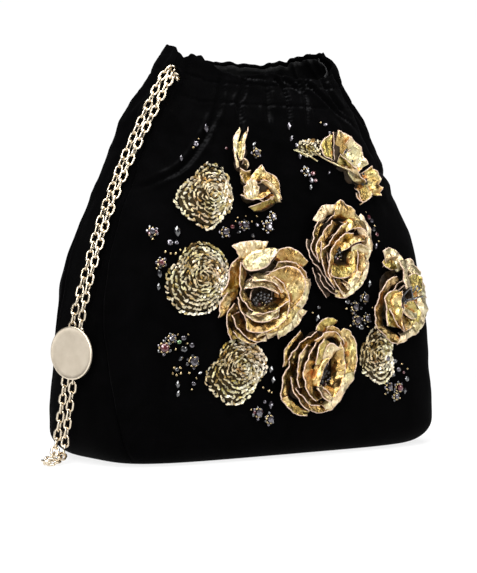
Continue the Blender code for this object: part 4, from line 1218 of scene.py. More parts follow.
# --------------------------------------------------------------------------
# leather roses: each petal is a strip of foiled leather between its free rim
# and its foot, measured as (x, y) in mm on the wall at a height over the cloth
# --------------------------------------------------------------------------
TRACED = {
    "centre": (
        ("P", 7, ((-26.3, 28.1), (-21.5, 29.9), (-15.4, 31.1), (-8.5, 31.2), (-1.5, 30.7)),
         5, ((-21.0, 21.9), (-17.7, 20.8), (-12.9, 20.8), (-8.5, 23.1), (-4.1, 25.5))),
        ("P", 11, ((-22.8, 17.4), (-19.7, 14.5), (-15.0, 13.4), (-8.7, 14.5), (-2.2, 18.0), (0.9, 22.1), (2.6, 26.2)),
         9, ((-20.2, 19.3), (-16.6, 21.6), (-12.4, 24.0), (-8.1, 25.7), (-3.9, 26.3), (0.4, 26.4), (3.3, 26.9))),
        ("F", 5, ((7.5, 26.1), (11.3, 27.3), (15.8, 27.9), (20.2, 26.7), (24.6, 23.7), (29.7, 19.4)),
         3, ((6.4, 21.5), (10.7, 19.1), (14.4, 17.9), (18.9, 17.2), (23.4, 16.6), (28.0, 16.6))),
        ("F", 6, ((7.1, 18.9), (15.3, 19.5), (21.2, 17.6), (25.6, 14.0), (28.4, 9.2)),
         3, ((2.3, 11.9), (9.7, 13.1), (17.2, 13.6), (22.4, 11.2), (24.5, 7.5))),
        ("P", 5, ((30.7, 8.6), (30.5, 3.8), (28.9, -1.6), (26.5, -6.4), (22.7, -10.0), (18.1, -12.3)),
         5, ((25.4, 9.8), (25.2, 4.5), (23.6, -0.9), (20.5, -4.5), (16.6, -6.8), (14.4, -9.2))),
        ("F", 9, ((-5.5, 11.1), (0.3, 13.4), (7.0, 15.8), (12.9, 16.3), (18.8, 14.5), (23.2, 10.3), (23.7, 3.8), (21.3, -2.1), (16.7, -7.4)),
         6, ((-1.5, 7.7), (2.9, 8.8), (7.3, 7.0), (10.9, 3.4), (12.3, -0.2), (13.7, -4.4), (13.6, -7.4), (12.9, -9.8), (11.3, -12.2))),
        ("F", 11, ((-0.5, 10.4), (3.8, 8.1), (7.3, 4.6), (10.1, -0.2), (10.7, -5.5), (9.9, -10.3), (7.6, -15.1), (2.4, -19.2), (-4.2, -22.0), (-10.6, -23.0), (-16.9, -22.3), (-21.0, -21.0)),
         6, ((-0.0, 7.7), (4.3, 4.7), (7.1, 1.1), (8.5, -2.5), (8.4, -6.7), (6.9, -10.3), (3.9, -13.2), (-0.5, -15.5), (-5.7, -16.6), (-10.7, -15.9), (-14.9, -14.0), (-18.3, -12.1))),
        ("F", 12, ((-18.0, -12.1), (-12.4, -11.6), (-6.8, -11.1), (-1.0, -9.5), (4.1, -7.2), (9.3, -3.7)),
         6, ((-10.5, -7.5), (-6.2, -7.6), (-1.8, -7.1), (2.6, -5.4), (6.3, -3.1), (9.3, -0.7))),
        ("P", 11, ((-20.7, -11.5), (-18.1, -13.9), (-14.0, -15.8), (-9.8, -16.5), (-4.8, -16.0), (-0.4, -14.3), (2.5, -12.5)),
         8, ((-16.8, -9.8), (-13.3, -11.6), (-9.8, -11.7), (-6.2, -11.2), (-1.9, -10.7), (2.5, -9.6), (5.5, -7.8))),
        ("F", 9, ((-25.3, -1.5), (-24.1, -6.2), (-22.2, -10.9), (-19.6, -15.1), (-16.2, -18.7), (-11.4, -21.8), (-5.7, -22.6)),
         5, ((-18.1, -1.5), (-16.8, -5.6), (-14.8, -9.8), (-12.1, -13.5), (-8.6, -16.5), (-5.0, -18.4), (-1.4, -19.7))),
        ("F", 7, ((-27.8, -12.0), (-26.6, -15.6), (-24.6, -19.2), (-21.3, -22.8), (-17.2, -25.8), (-12.3, -28.3), (-7.3, -27.3), (-4.4, -25.6)),
         4, ((-21.2, -10.3), (-19.9, -14.5), (-17.2, -18.7), (-13.7, -21.8), (-10.2, -23.7), (-7.3, -24.4), (-4.4, -23.8), (-2.2, -23.3))),
        ("F", 5, ((-25.1, -4.9), (-27.9, -8.4), (-30.0, -13.1), (-30.2, -17.9), (-29.0, -22.6), (-27.1, -26.8)),
         3, ((-20.5, -7.4), (-22.7, -10.9), (-24.1, -14.4), (-24.2, -18.6), (-23.0, -22.2), (-21.0, -25.8))),
        ("F", 5, ((-26.2, -21.5), (-24.3, -24.5), (-20.9, -26.9), (-16.7, -28.8), (-12.4, -29.6), (-9.6, -28.5)),
         3, ((-20.8, -19.8), (-18.1, -22.9), (-15.3, -24.7), (-11.7, -26.0), (-8.9, -26.1), (-6.7, -25.6))),
        ("F", 5, ((-22.7, 5.6), (-27.5, 2.7), (-31.7, -1.3), (-34.5, -6.6), (-35.4, -13.6)),
         4, ((-20.8, 2.1), (-23.7, -2.0), (-26.6, -6.1), (-29.4, -9.6), (-33.5, -13.6))),
        ("F", 6, ((-19.6, 21.9), (-24.5, 19.5), (-27.4, 14.8), (-28.4, 10.2), (-30.6, 5.6), (-34.2, -0.8)),
         5, ((-15.9, 17.8), (-18.8, 14.3), (-19.7, 10.2), (-20.6, 6.7), (-22.8, 3.8), (-26.3, 0.9))),
        ("F", 11, ((-22.7, 18.5), (-23.7, 13.3), (-24.0, 8.2), (-24.3, 3.1), (-23.1, -1.5), (-21.2, -5.0), (-18.6, -8.0), (-15.9, -9.8)),
         7, ((-17.1, 16.5), (-17.4, 11.9), (-18.3, 7.2), (-18.5, 2.6), (-17.3, -0.9), (-15.3, -3.9), (-12.5, -6.3), (-10.4, -7.5))),
        ("P", 12, ((-16.6, 7.6), (-11.1, 7.6), (-5.5, 7.5), (-1.3, 6.4), (1.5, 4.0), (4.3, 0.5)),
         9, ((-13.9, 10.6), (-8.3, 11.7), (-2.6, 11.1), (3.0, 8.7), (6.5, 5.2), (8.6, 1.6))),
        ("P", 11, ((-21.6, 3.1), (-16.2, 3.6), (-10.6, 4.2), (-5.7, 3.5), (-1.5, 1.8), (2.8, -0.1)),
         8, ((-18.3, 6.0), (-14.1, 7.7), (-8.5, 8.3), (-2.8, 7.7), (2.1, 5.3), (6.4, 1.7))),
        ("P", 4, ((-1.6, -26.9), (2.1, -26.4), (5.8, -24.7)),
         5, ((-3.6, -22.7), (0.8, -22.2), (5.2, -21.1))),
        ("P", 4, ((6.5, -27.2), (11.1, -24.9), (15.6, -22.6), (18.7, -20.9)),
         5, ((4.4, -22.3), (8.9, -20.6), (13.5, -18.3), (15.7, -16.5))),
        ("P", 4, ((18.6, -21.5), (22.5, -17.9), (25.6, -14.3), (28.7, -10.8)),
         5, ((15.0, -17.1), (18.1, -13.5), (20.4, -10.6), (23.4, -8.2))),
        ("P", 4, ((-11.1, -29.6), (-6.7, -28.6), (-2.3, -28.1)),
         5, ((-10.2, -24.3), (-6.6, -23.2), (-3.7, -23.3))),
        ("F", 7, ((21.2, -8.7), (17.3, -12.3), (14.3, -16.5), (9.7, -20.0), (3.7, -22.2), (-2.9, -23.8)),
         7, ((14.4, -5.6), (13.6, -9.8), (12.1, -13.4), (8.3, -16.9), (2.3, -19.8), (-4.3, -20.8))),
    ),
    "upper": (
        ("P", 5, ((-23.6, 18.1), (-20.1, 22.4), (-15.8, 26.7), (-9.4, 27.4), (-3.9, 26.8)),
         5, ((-18.4, 15.7), (-15.8, 18.7), (-12.4, 21.8), (-7.6, 22.5), (-3.6, 22.5))),
        ("F", 6, ((-5.7, 25.4), (-2.7, 30.3), (1.9, 28.5), (5.7, 26.1), (9.5, 23.0), (13.2, 19.3)),
         5, ((-10.3, 18.8), (-4.6, 20.6), (1.0, 20.1), (5.7, 18.2), (9.5, 15.1), (10.9, 12.7))),
        ("P", 5, ((14.5, 22.0), (18.4, 18.2), (21.2, 13.3), (22.4, 8.3), (22.7, 3.4), (22.3, -1.0)),
         5, ((9.8, 17.6), (12.7, 13.9), (14.8, 9.6), (16.1, 5.9), (16.6, 2.2), (17.1, -1.5))),
        ("P", 5, ((21.5, -0.3), (19.3, -5.3), (18.1, -10.2), (17.0, -15.1), (14.3, -19.4), (10.1, -23.6), (4.3, -27.2), (-1.3, -29.6)),
         5, ((15.5, -0.3), (14.3, -5.2), (12.3, -10.1), (10.4, -14.4), (7.8, -18.7), (4.5, -21.7), (-0.4, -24.1), (-5.2, -25.2))),
        ("F", 4, ((-7.6, -28.8), (-3.7, -29.5), (0.3, -29.6), (4.3, -27.8)),
         5, ((-8.3, -23.9), (-4.4, -24.6), (-0.4, -24.7), (2.8, -23.5))),
        ("D", 6, ((-30.7, 6.4), (-30.2, 2.2), (-29.0, -2.0), (-26.9, -6.2), (-23.3, -9.9), (-19.6, -13.5), (-16.7, -17.8), (-13.7, -21.4), (-9.9, -24.5)),
         3, ((-23.9, 5.5), (-23.4, 1.3), (-22.1, -2.4), (-20.0, -6.1), (-17.1, -9.7), (-14.2, -13.4), (-11.2, -17.1), (-8.2, -20.2), (-5.1, -22.7))),
        ("D", 4, ((-24.9, -10.4), (-24.3, -15.2), (-22.2, -19.5), (-19.2, -24.4), (-14.7, -29.3)),
         3, ((-21.1, -12.2), (-19.7, -16.4), (-17.6, -20.7), (-14.6, -24.4), (-11.5, -27.5))),
        ("D", 5, ((-22.0, -14.1), (-19.8, -18.9), (-16.9, -23.2), (-12.3, -25.7), (-7.6, -27.0)),
         3, ((-16.6, -14.6), (-14.4, -18.3), (-11.4, -22.0), (-7.5, -23.9), (-4.4, -25.2))),
        ("F", 7, ((-20.5, 17.8), (-24.1, 12.4), (-26.1, 6.9), (-27.9, 2.1), (-26.7, -2.1), (-23.9, -6.3)),
         5, ((-16.1, 15.7), (-18.8, 11.4), (-20.7, 6.5), (-21.8, 1.7), (-21.3, -1.9), (-20.0, -5.6))),
        ("F", 9, ((-11.3, 17.6), (-16.4, 12.8), (-21.4, 7.3), (-24.8, 3.1), (-25.8, -0.4), (-24.5, -4.6), (-23.2, -7.6)),
         6, ((-5.2, 15.0), (-10.3, 10.7), (-13.7, 6.5), (-17.2, 2.2), (-18.9, -1.4), (-19.1, -4.5), (-18.5, -7.5))),
        ("F", 10, ((-1.1, 16.9), (-7.0, 12.7), (-12.1, 7.9), (-16.3, 3.6), (-21.2, -0.5)),
         7, ((4.4, 14.9), (-0.8, 11.2), (-5.9, 7.0), (-10.1, 2.7), (-15.1, -2.1))),
        ("F", 9, ((-21.6, 4.9), (-22.0, -0.5), (-21.5, -5.9), (-21.0, -10.7), (-18.9, -15.5), (-16.0, -19.1), (-11.5, -23.3)),
         5, ((-14.0, 3.5), (-14.3, -1.4), (-14.6, -6.2), (-14.0, -10.5), (-11.9, -14.2), (-8.9, -17.8), (-5.1, -20.9))),
        ("F", 12, ((2.1, 9.4), (-4.3, 8.8), (-10.0, 5.8), (-13.3, 2.3), (-15.9, -1.3), (-17.7, -5.5), (-18.7, -9.6), (-18.9, -13.8), (-17.5, -17.4)),
         7, ((5.3, 6.9), (-0.4, 5.7), (-4.6, 3.3), (-7.2, 0.3), (-8.9, -2.8), (-10.7, -6.4), (-10.9, -10.0), (-10.3, -13.1), (-8.8, -16.1))),
        ("F", 12, ((-8.1, -1.4), (-4.2, -0.2), (-0.1, 2.2), (4.8, 4.0), (10.5, 4.5)),
         9, ((-7.9, 1.9), (-3.8, 4.3), (1.1, 6.1), (6.9, 7.9), (13.4, 7.9))),
        ("P", 11, ((0.7, 1.1), (5.6, 2.9), (10.4, 2.2), (14.2, -0.3)),
         8, ((2.2, -1.7), (7.1, -0.5), (11.9, -1.2), (15.9, -3.0))),
        ("F", 12, ((4.5, -0.3), (4.2, -5.1), (3.9, -9.9), (2.9, -14.1), (0.4, -18.2), (-2.9, -21.7)),
         7, ((2.3, -1.0), (2.0, -5.3), (1.8, -8.9), (0.8, -12.6), (-1.7, -15.6), (-5.0, -18.0))),
        ("G", 11, ((-16.6, -15.6), (-12.1, -17.4), (-5.8, -17.5), (-1.1, -15.8), (3.9, -11.6)),
         8, ((-13.9, -7.6), (-9.3, -9.5), (-3.1, -9.5), (1.7, -9.0), (5.8, -7.2))),
        ("F", 9, ((-12.8, -17.3), (-11.4, -21.5), (-8.4, -25.2), (-3.7, -27.7)),
         6, ((-5.7, -17.3), (-4.3, -21.0), (-1.2, -23.4), (1.9, -24.7))),
        ("P", 9, ((8.6, -14.0), (6.0, -18.8), (1.9, -22.3), (-2.9, -24.7)),
         6, ((6.4, -12.6), (3.0, -16.8), (-0.3, -19.8), (-4.3, -21.0))),
        ("F", 8, ((14.4, -1.2), (14.0, -6.7), (12.9, -11.6), (10.2, -16.4), (6.8, -20.6)),
         7, ((9.5, -1.7), (9.2, -6.6), (8.9, -10.8), (7.1, -15.1), (4.5, -18.7))),
        ("F", 10, ((14.3, 9.6), (8.8, 12.0), (3.2, 12.1), (-2.5, 10.3)),
         7, ((15.3, 16.1), (10.5, 17.9), (4.7, 17.9), (-1.2, 15.5))),
    ),
    "lower": (
        ("G", 6, ((-4.7, 23.0), (-1.6, 26.6), (2.3, 30.2), (7.8, 30.1), (12.4, 28.7)),
         6, ((1.4, 21.6), (3.8, 23.4), (6.1, 25.2), (9.3, 26.9), (11.6, 28.1))),
        ("F", 5, ((-15.4, 22.7), (-20.1, 18.6), (-24.7, 14.5), (-27.0, 11.0), (-27.8, 6.8), (-28.6, 1.4)),
         3, ((-11.7, 20.2), (-15.6, 16.6), (-19.4, 12.5), (-21.8, 8.9), (-22.6, 4.7), (-23.4, 1.1))),
        ("F", 8, ((-4.0, 21.8), (-9.4, 19.6), (-14.8, 17.3), (-19.4, 13.8), (-23.2, 9.7), (-27.0, 5.7)),
         5, ((0.6, 18.6), (-4.9, 16.3), (-9.5, 13.4), (-14.2, 9.9), (-18.0, 6.4), (-21.1, 3.5))),
        ("F", 6, ((-23.3, 4.9), (-26.4, 0.8), (-28.7, -4.0), (-30.3, -9.3), (-31.1, -14.7), (-31.1, -17.6)),
         3, ((-15.8, 3.3), (-18.9, -0.9), (-21.2, -5.6), (-22.8, -10.4), (-23.6, -14.6), (-24.4, -18.2))),
        ("F", 5, ((-30.4, -17.7), (-26.6, -20.9), (-23.6, -24.7), (-18.3, -27.3), (-10.6, -29.0)),
         4, ((-24.4, -16.3), (-21.4, -19.5), (-18.3, -22.6), (-13.8, -24.7), (-7.6, -26.2))),
        ("F", 9, ((-13.3, 14.8), (-16.4, 10.7), (-19.5, 6.6), (-20.3, 1.9), (-20.4, -3.0), (-20.5, -7.8), (-19.0, -11.5)),
         5, ((-5.7, 12.7), (-8.8, 9.1), (-11.2, 5.0), (-12.0, 0.8), (-12.1, -3.5), (-12.1, -7.8), (-11.4, -10.8))),
        ("F", 7, ((-24.9, -4.7), (-23.5, -9.6), (-22.1, -13.8), (-19.1, -18.2), (-15.3, -22.0), (-10.7, -25.8)),
         4, ((-17.4, -5.7), (-16.7, -10.0), (-15.3, -13.7), (-12.2, -18.1), (-8.4, -21.3), (-4.6, -23.9))),
        ("F", 11, ((-2.5, 19.4), (-8.0, 15.3), (-11.1, 11.2), (-14.2, 6.5), (-16.5, 1.8), (-17.4, -3.0), (-16.7, -7.9), (-15.2, -12.8), (-12.2, -17.1), (-7.7, -19.7)),
         7, ((4.4, 16.7), (-0.3, 13.2), (-3.5, 9.0), (-5.8, 4.2), (-7.4, 0.0), (-8.3, -4.2), (-7.5, -8.5), (-6.1, -12.8), (-3.0, -16.0), (0.0, -17.9))),
        ("G", 12, ((-2.5, 17.6), (-5.7, 13.5), (-7.3, 9.9), (-8.9, 6.3), (-8.9, 2.1)),
         9, ((5.1, 14.9), (2.8, 11.9), (0.4, 8.3), (-1.2, 5.3), (-1.3, 2.3))),
        ("P", 12, ((-0.3, 13.3), (4.3, 14.9), (9.7, 11.1)),
         10, ((-2.7, 6.0), (1.9, 5.9), (7.3, 8.7))),
        ("F", 12, ((1.9, 6.5), (-1.3, 1.8), (-3.6, -2.4), (-5.2, -6.5), (-6.8, -11.3)),
         10, ((-2.8, 4.2), (-5.9, 0.7), (-7.5, -2.9), (-8.3, -7.1), (-8.3, -10.7))),
        ("F", 11, ((11.3, 15.3), (13.6, 9.1), (14.3, 3.0), (14.2, -3.2), (12.5, -9.2), (10.1, -14.0), (6.2, -18.6)),
         5, ((8.9, 6.1), (10.4, 1.7), (10.3, -2.6), (9.5, -7.5), (7.9, -11.7), (5.5, -15.3), (3.1, -17.6))),
        ("F", 7, ((16.3, 23.7), (21.0, 22.3), (24.1, 18.5), (26.3, 13.5), (27.0, 7.3), (26.9, 1.1), (25.3, -3.8)),
         7, ((13.1, 20.7), (15.4, 18.2), (17.6, 13.8), (18.3, 9.5), (18.3, 4.5), (17.4, -0.4), (15.8, -4.6))),
        ("P", 5, ((26.9, -2.7), (25.2, -8.2), (21.2, -13.0), (17.2, -17.1), (14.1, -21.2), (10.2, -24.6), (4.7, -27.4)),
         6, ((19.8, -2.3), (17.3, -7.2), (14.1, -11.3), (11.0, -14.9), (7.8, -18.4), (4.7, -21.2), (0.8, -23.5))),
        ("F", 11, ((-9.4, 17.2), (-4.8, 19.5), (-0.2, 21.8), (4.5, 22.2), (9.1, 20.9), (12.2, 17.7), (13.7, 14.0)),
         8, ((-4.1, 14.5), (-0.2, 16.2), (3.7, 18.5), (7.6, 19.0), (10.6, 17.7), (12.9, 14.6), (13.7, 11.5))),
        ("F", 9, ((0.7, 24.8), (5.3, 25.2), (10.0, 23.9), (13.8, 20.7), (16.9, 16.3)),
         7, ((2.9, 21.0), (6.8, 21.5), (10.7, 20.8), (13.8, 17.6), (16.1, 13.8))),
        ("F", 6, ((-9.2, -25.3), (-4.5, -27.4), (0.1, -27.6), (5.5, -26.1)),
         5, ((-9.2, -21.2), (-4.6, -22.7), (0.0, -22.3), (4.7, -20.7))),
        ("P", 11, ((-7.6, -11.9), (-5.3, -15.0), (-1.5, -18.2), (3.1, -20.8)),
         8, ((-1.4, -10.5), (0.9, -13.1), (3.9, -15.6), (7.8, -17.6))),
        ("F", 11, ((-3.0, -11.5), (0.1, -14.1), (3.1, -17.2)),
         8, ((3.2, -10.1), (6.3, -12.7), (8.6, -14.6))),
        ("F", 8, ((-21.3, -11.4), (-17.5, -15.8), (-13.8, -19.6), (-9.2, -22.2), (-3.8, -23.1)),
         5, ((-13.7, -10.7), (-10.7, -14.5), (-6.9, -17.7), (-3.0, -19.7), (0.8, -20.5))),
    ),
    "side": (
        ("P", 7, ((-23.9, 27.7), (-20.1, 29.5), (-15.5, 29.5), (-10.1, 26.9), (-5.7, 23.1), (-5.4, 18.1)),
         6, ((-20.0, 20.4), (-17.1, 22.8), (-14.1, 24.0), (-11.5, 22.1), (-10.0, 18.9), (-8.5, 15.2))),
        ("G", 6, ((-22.6, 21.0), (-19.4, 17.2), (-14.1, 15.9), (-8.2, 17.0)),
         5, ((-17.6, 24.8), (-14.2, 22.2), (-10.6, 20.3), (-6.6, 20.8))),
        ("F", 7, ((-11.8, 12.0), (-19.2, 9.8), (-23.8, 6.2), (-27.3, 1.9), (-29.1, -2.4), (-30.9, -7.3), (-31.9, -12.3), (-31.2, -17.3), (-29.6, -20.5)),
         3, ((-4.6, 7.8), (-10.6, 6.1), (-15.4, 3.0), (-18.3, -0.7), (-20.2, -4.4), (-22.1, -8.8), (-23.1, -13.2), (-22.4, -17.0), (-20.7, -19.5))),
        ("F", 5, ((-27.8, -20.6), (-24.5, -23.2), (-20.3, -25.9), (-16.0, -29.2), (-10.8, -30.6)),
         4, ((-21.7, -18.9), (-17.4, -21.6), (-13.1, -24.2), (-8.6, -26.9), (-4.1, -28.4))),
        ("P", 4, ((-10.6, -31.3), (-3.1, -29.1), (3.9, -26.8), (11.6, -24.0), (17.0, -19.8), (22.2, -14.2), (25.2, -8.5), (26.9, -2.7)),
         5, ((-7.8, -25.7), (-2.1, -24.1), (2.9, -21.7), (7.3, -18.7), (9.8, -15.0), (11.5, -9.9), (11.9, -5.5), (11.2, -1.6))),
        ("P", 5, ((-1.2, 22.0), (4.5, 22.5), (9.9, 19.2), (15.6, 14.7), (18.6, 9.5), (22.0, 3.7), (23.9, -2.7)),
         5, ((-4.0, 17.0), (0.0, 16.3), (4.0, 13.7), (6.8, 9.9), (8.5, 5.4), (10.4, 1.6), (11.1, -2.2))),
        ("P", 12, ((-13.7, 21.4), (-12.4, 15.9), (-11.0, 9.8), (-9.6, 3.7)),
         9, ((-5.4, 21.5), (-4.2, 16.0), (-3.8, 10.4), (-2.3, 5.5))),
        ("G", 10, ((-15.5, 3.4), (-20.8, 2.9), (-25.1, 0.6), (-26.1, -3.1), (-24.5, -8.8), (-24.6, -13.8), (-24.8, -18.8)),
         6, ((-6.7, 1.4), (-10.6, -1.0), (-13.4, -4.0), (-14.5, -7.1), (-14.6, -11.6), (-13.9, -15.4), (-12.3, -19.9))),
        ("F", 10, ((-22.8, -8.2), (-19.5, -13.4), (-16.2, -17.9), (-11.2, -22.5)),
         7, ((-13.7, -5.9), (-10.2, -9.8), (-6.7, -13.8), (-3.2, -18.4))),
        ("F", 12, ((-13.2, 2.6), (-13.4, -2.9), (-13.6, -9.2), (-13.8, -15.5), (-12.3, -22.5)),
         9, ((-17.2, 1.0), (-19.2, -3.9), (-18.4, -9.6), (-16.0, -15.4), (-12.7, -20.5))),
        ("G", 9, ((-2.9, -3.8), (2.0, -4.7), (5.8, -8.0), (7.6, -12.6), (6.2, -18.2)),
         7, ((-7.3, -6.1), (-2.6, -7.6), (1.2, -10.3), (3.0, -13.5), (2.7, -17.3))),
        ("P", 11, ((-11.7, -9.9), (-8.3, -13.2), (-4.7, -15.3), (0.9, -14.9)),
         9, ((-7.7, -6.2), (-4.1, -8.9), (-0.3, -10.9), (3.6, -11.1))),
        ("F", 8, ((-8.2, -23.2), (-2.6, -21.6), (2.4, -18.0), (5.7, -13.7)),
         7, ((-9.6, -18.1), (-5.0, -17.0), (-1.1, -14.6), (2.1, -10.9))),
        ("G", 7, ((-2.2, 11.2), (4.4, 13.5), (11.2, 12.0), (14.1, 7.6), (12.0, 2.0)),
         7, ((-1.8, 5.6), (1.4, 6.7), (4.4, 4.8), (5.1, 1.6), (4.9, -1.5))),
    ),
    "bud": (
        ("F", 6, ((-2.2, 12.7), (-0.6, 9.1), (2.0, 8.0), (5.4, 6.9), (7.9, 3.3), (8.7, -2.1), (8.8, -8.1)),
         6, ((-7.5, 4.1), (-4.7, 4.2), (-2.0, 3.7), (0.6, 2.6), (3.3, 0.8), (5.1, -2.1), (6.0, -6.3))),
        ("F", 6, ((-2.2, 13.3), (-6.0, 10.1), (-9.1, 7.1), (-11.5, 4.0)),
         6, ((-2.0, 9.1), (-3.7, 6.6), (-6.1, 4.2), (-8.4, 2.3))),
        ("P", 8, ((-5.3, 3.2), (-1.3, 2.7), (2.0, 1.0), (4.5, -1.9), (6.2, -5.5), (7.2, -9.6)),
         7, ((-4.9, 2.2), (-1.5, 1.7), (1.1, 0.0), (3.6, -2.9), (5.4, -5.9), (6.5, -9.5))),
        ("P", 8, ((-18.2, -3.7), (-16.4, -0.1), (-12.6, 3.6), (-9.5, 2.5), (-7.2, -1.0)),
         7, ((-17.2, -5.3), (-14.1, -7.0), (-11.4, -6.9), (-9.2, -5.6), (-7.6, -3.2))),
        ("F", 8, ((-19.7, -5.5), (-16.7, -7.8), (-12.9, -8.9), (-8.8, -8.2), (-4.5, -6.9), (0.7, -4.4)),
         6, ((-15.2, -3.8), (-12.7, -5.5), (-9.4, -6.1), (-5.8, -4.8), (-2.1, -2.9), (0.9, -1.0))),
        ("G", 5, ((-13.7, -12.5), (-9.4, -11.2), (-4.3, -9.3), (0.9, -6.9), (5.5, -4.4)),
         3, ((-9.9, -13.9), (-4.9, -13.2), (0.3, -11.3), (4.9, -8.9), (8.1, -6.4))),
        ("D", 4, ((-6.6, 1.6), (-2.4, 2.3), (1.7, 1.2), (5.0, -1.8)),
         3, ((-6.8, -4.8), (-3.3, -4.8), (0.4, -3.5), (3.4, -2.2))),
    ),
    "tall_bud": (
        ("P", 6, ((-1.3, 10.1), (-4.3, 7.0), (-6.7, 3.3), (-6.9, -2.2), (-7.1, -8.2), (-6.7, -14.2)),
         6, ((-1.5, 8.9), (-2.7, 4.6), (-4.2, 0.9), (-5.1, -3.3), (-5.5, -8.2), (-5.7, -13.5))),
        ("P", 6, ((4.6, 11.0), (2.4, 6.7), (1.0, 1.7), (-0.4, -3.8), (-1.8, -8.6)),
         5, ((3.1, 8.8), (0.6, 4.4), (-0.7, 0.1), (-1.9, -4.2), (-3.3, -9.0))),
        ("G", 4, ((-2.8, 2.1), (-3.8, -2.2), (-3.7, -6.4), (-2.5, -9.4)),
         4, ((0.8, 2.9), (0.2, -1.4), (-0.7, -5.7), (-1.1, -8.7))),
        ("F", 5, ((-4.3, -13.8), (-1.3, -15.5), (2.8, -14.8)),
         3, ((-3.4, -19.3), (-0.3, -21.7), (3.4, -19.2))),
        ("P", 6, ((-2.0, -8.0), (0.5, -8.9), (2.0, -12.1)),
         4, ((-1.3, -9.9), (0.3, -10.5), (1.5, -13.4))),
        ("F", 5, ((-4.3, -18.6), (-3.4, -21.6), (-0.9, -23.3), (2.1, -20.8)),
         4, ((-1.6, -17.1), (-0.6, -19.5), (0.6, -20.7), (2.9, -18.2))),
    ),
    "shoulder": (
        ("G", 6, ((-28.4, 18.5), (-33.8, 15.2), (-36.8, 10.7), (-35.8, 6.4), (-32.2, 3.3), (-29.1, 2.2)),
         6, ((-26.0, 17.9), (-26.6, 14.2), (-27.1, 10.4), (-27.7, 6.6), (-28.1, 4.1), (-28.3, 2.2))),
        ("F", 7, ((-22.8, 20.8), (-20.0, 20.3), (-16.7, 19.4), (-13.5, 17.7), (-10.8, 16.0)),
         3.5, ((-22.8, 13.3), (-21.9, 11.2), (-19.9, 9.4), (-17.5, 8.3), (-14.9, 7.9))),
        ("P", 8, ((-13.9, 17.1), (-10.2, 15.1), (-6.7, 11.7), (-3.4, 7.1), (-1.6, 3.3), (-0.2, -0.5)),
         3.5, ((-15.9, 12.1), (-15.8, 8.3), (-14.0, 4.9), (-10.9, 2.4), (-7.8, -0.1), (-4.4, -2.2))),
        ("D", 4, ((-23.7, 20.4), (-23.9, 14.1), (-24.9, 7.7), (-25.8, 2.1)),
         3, ((-18.2, 20.8), (-17.6, 14.5), (-18.7, 8.2), (-22.3, 2.4))),
        ("G", 8, ((-23.6, 6.0), (-20.8, 4.0), (-17.9, 1.6), (-14.8, -0.4)),
         3, ((-22.4, 2.0), (-19.7, 0.3), (-16.6, -1.3), (-13.3, -2.5))),
        ("P", 8, ((-17.6, 1.6), (-13.7, -1.1), (-9.9, -4.5), (-6.8, -8.4), (-4.8, -11.7)),
         2.5, ((-14.4, -2.8), (-11.8, -6.3), (-8.2, -9.1), (-4.0, -10.8), (0.5, -11.3))),
        ("F", 6, ((5.5, -1.1), (9.7, -3.3), (13.0, -6.8), (13.5, -11.0), (12.6, -15.2), (10.1, -20.2)),
         2.5, ((0.6, -4.0), (1.6, -6.7), (1.8, -9.2), (2.3, -11.7), (4.1, -14.8), (6.9, -18.6))),
        ("F", 4, ((5.2, -18.2), (2.1, -20.8), (-1.3, -22.4), (-5.1, -23.9)),
         2.5, ((1.2, -11.5), (-1.9, -12.3), (-5.0, -13.5), (-7.4, -16.7))),
        ("P", 3, ((-9.0, -17.4), (-7.0, -21.7), (-3.7, -23.6)),
         3, ((-4.3, -16.7), (-2.0, -19.2), (0.3, -21.6))),
    ),
}

ROSE_MATS = [FOIL, EDGE, JET, SEED, FOIL_PALE, SMOKE, GARNET, FOIL_OLIVE, FOIL_PAINTED_SHADE, FOIL_AMBER, HEART]
# 'D' petals are coloured whole with the near-black painted-shade foil
TONE = {"F": 0, "P": 4, "G": 7, "D": 8}
PLEATED = {("centre", 0): 5, ("centre", 1): 2, ("bud", 3): 4, ("shoulder", 6): 4, ("shoulder", 7): 4, ("shoulder", 2): 2}
ROW_T = np.array([0.0, 0.12, 0.24, 0.36, 0.47, 0.58, 0.69, 0.80, 0.90, 0.965, 1.0])


def smooth_line(points, n):
    """n points along a soft curve through the given ones."""
    p = np.asarray(points, float)
    q = np.vstack([2 * p[0] - p[1], p, 2 * p[-1] - p[-2]])
    dense = []
    for i in range(1, len(q) - 2):
        for t in np.arange(8) / 8:
            dense.append(0.5 * (2 * q[i] + (q[i + 1] - q[i - 1]) * t
                                + (2 * q[i - 1] - 5 * q[i] + 4 * q[i + 1] - q[i + 2]) * t * t
                                + (3 * q[i] - q[i - 1] - 3 * q[i + 1] + q[i + 2]) * t ** 3))
    dense = np.array(dense + [q[-2]])
    d = np.concatenate([[0], np.cumsum(np.linalg.norm(np.diff(dense, axis=0), axis=1))])
    w = np.linspace(0, d[-1], n)
    return np.stack([np.interp(w, d, dense[:, k]) for k in range(dense.shape[1])], -1), d[-1]


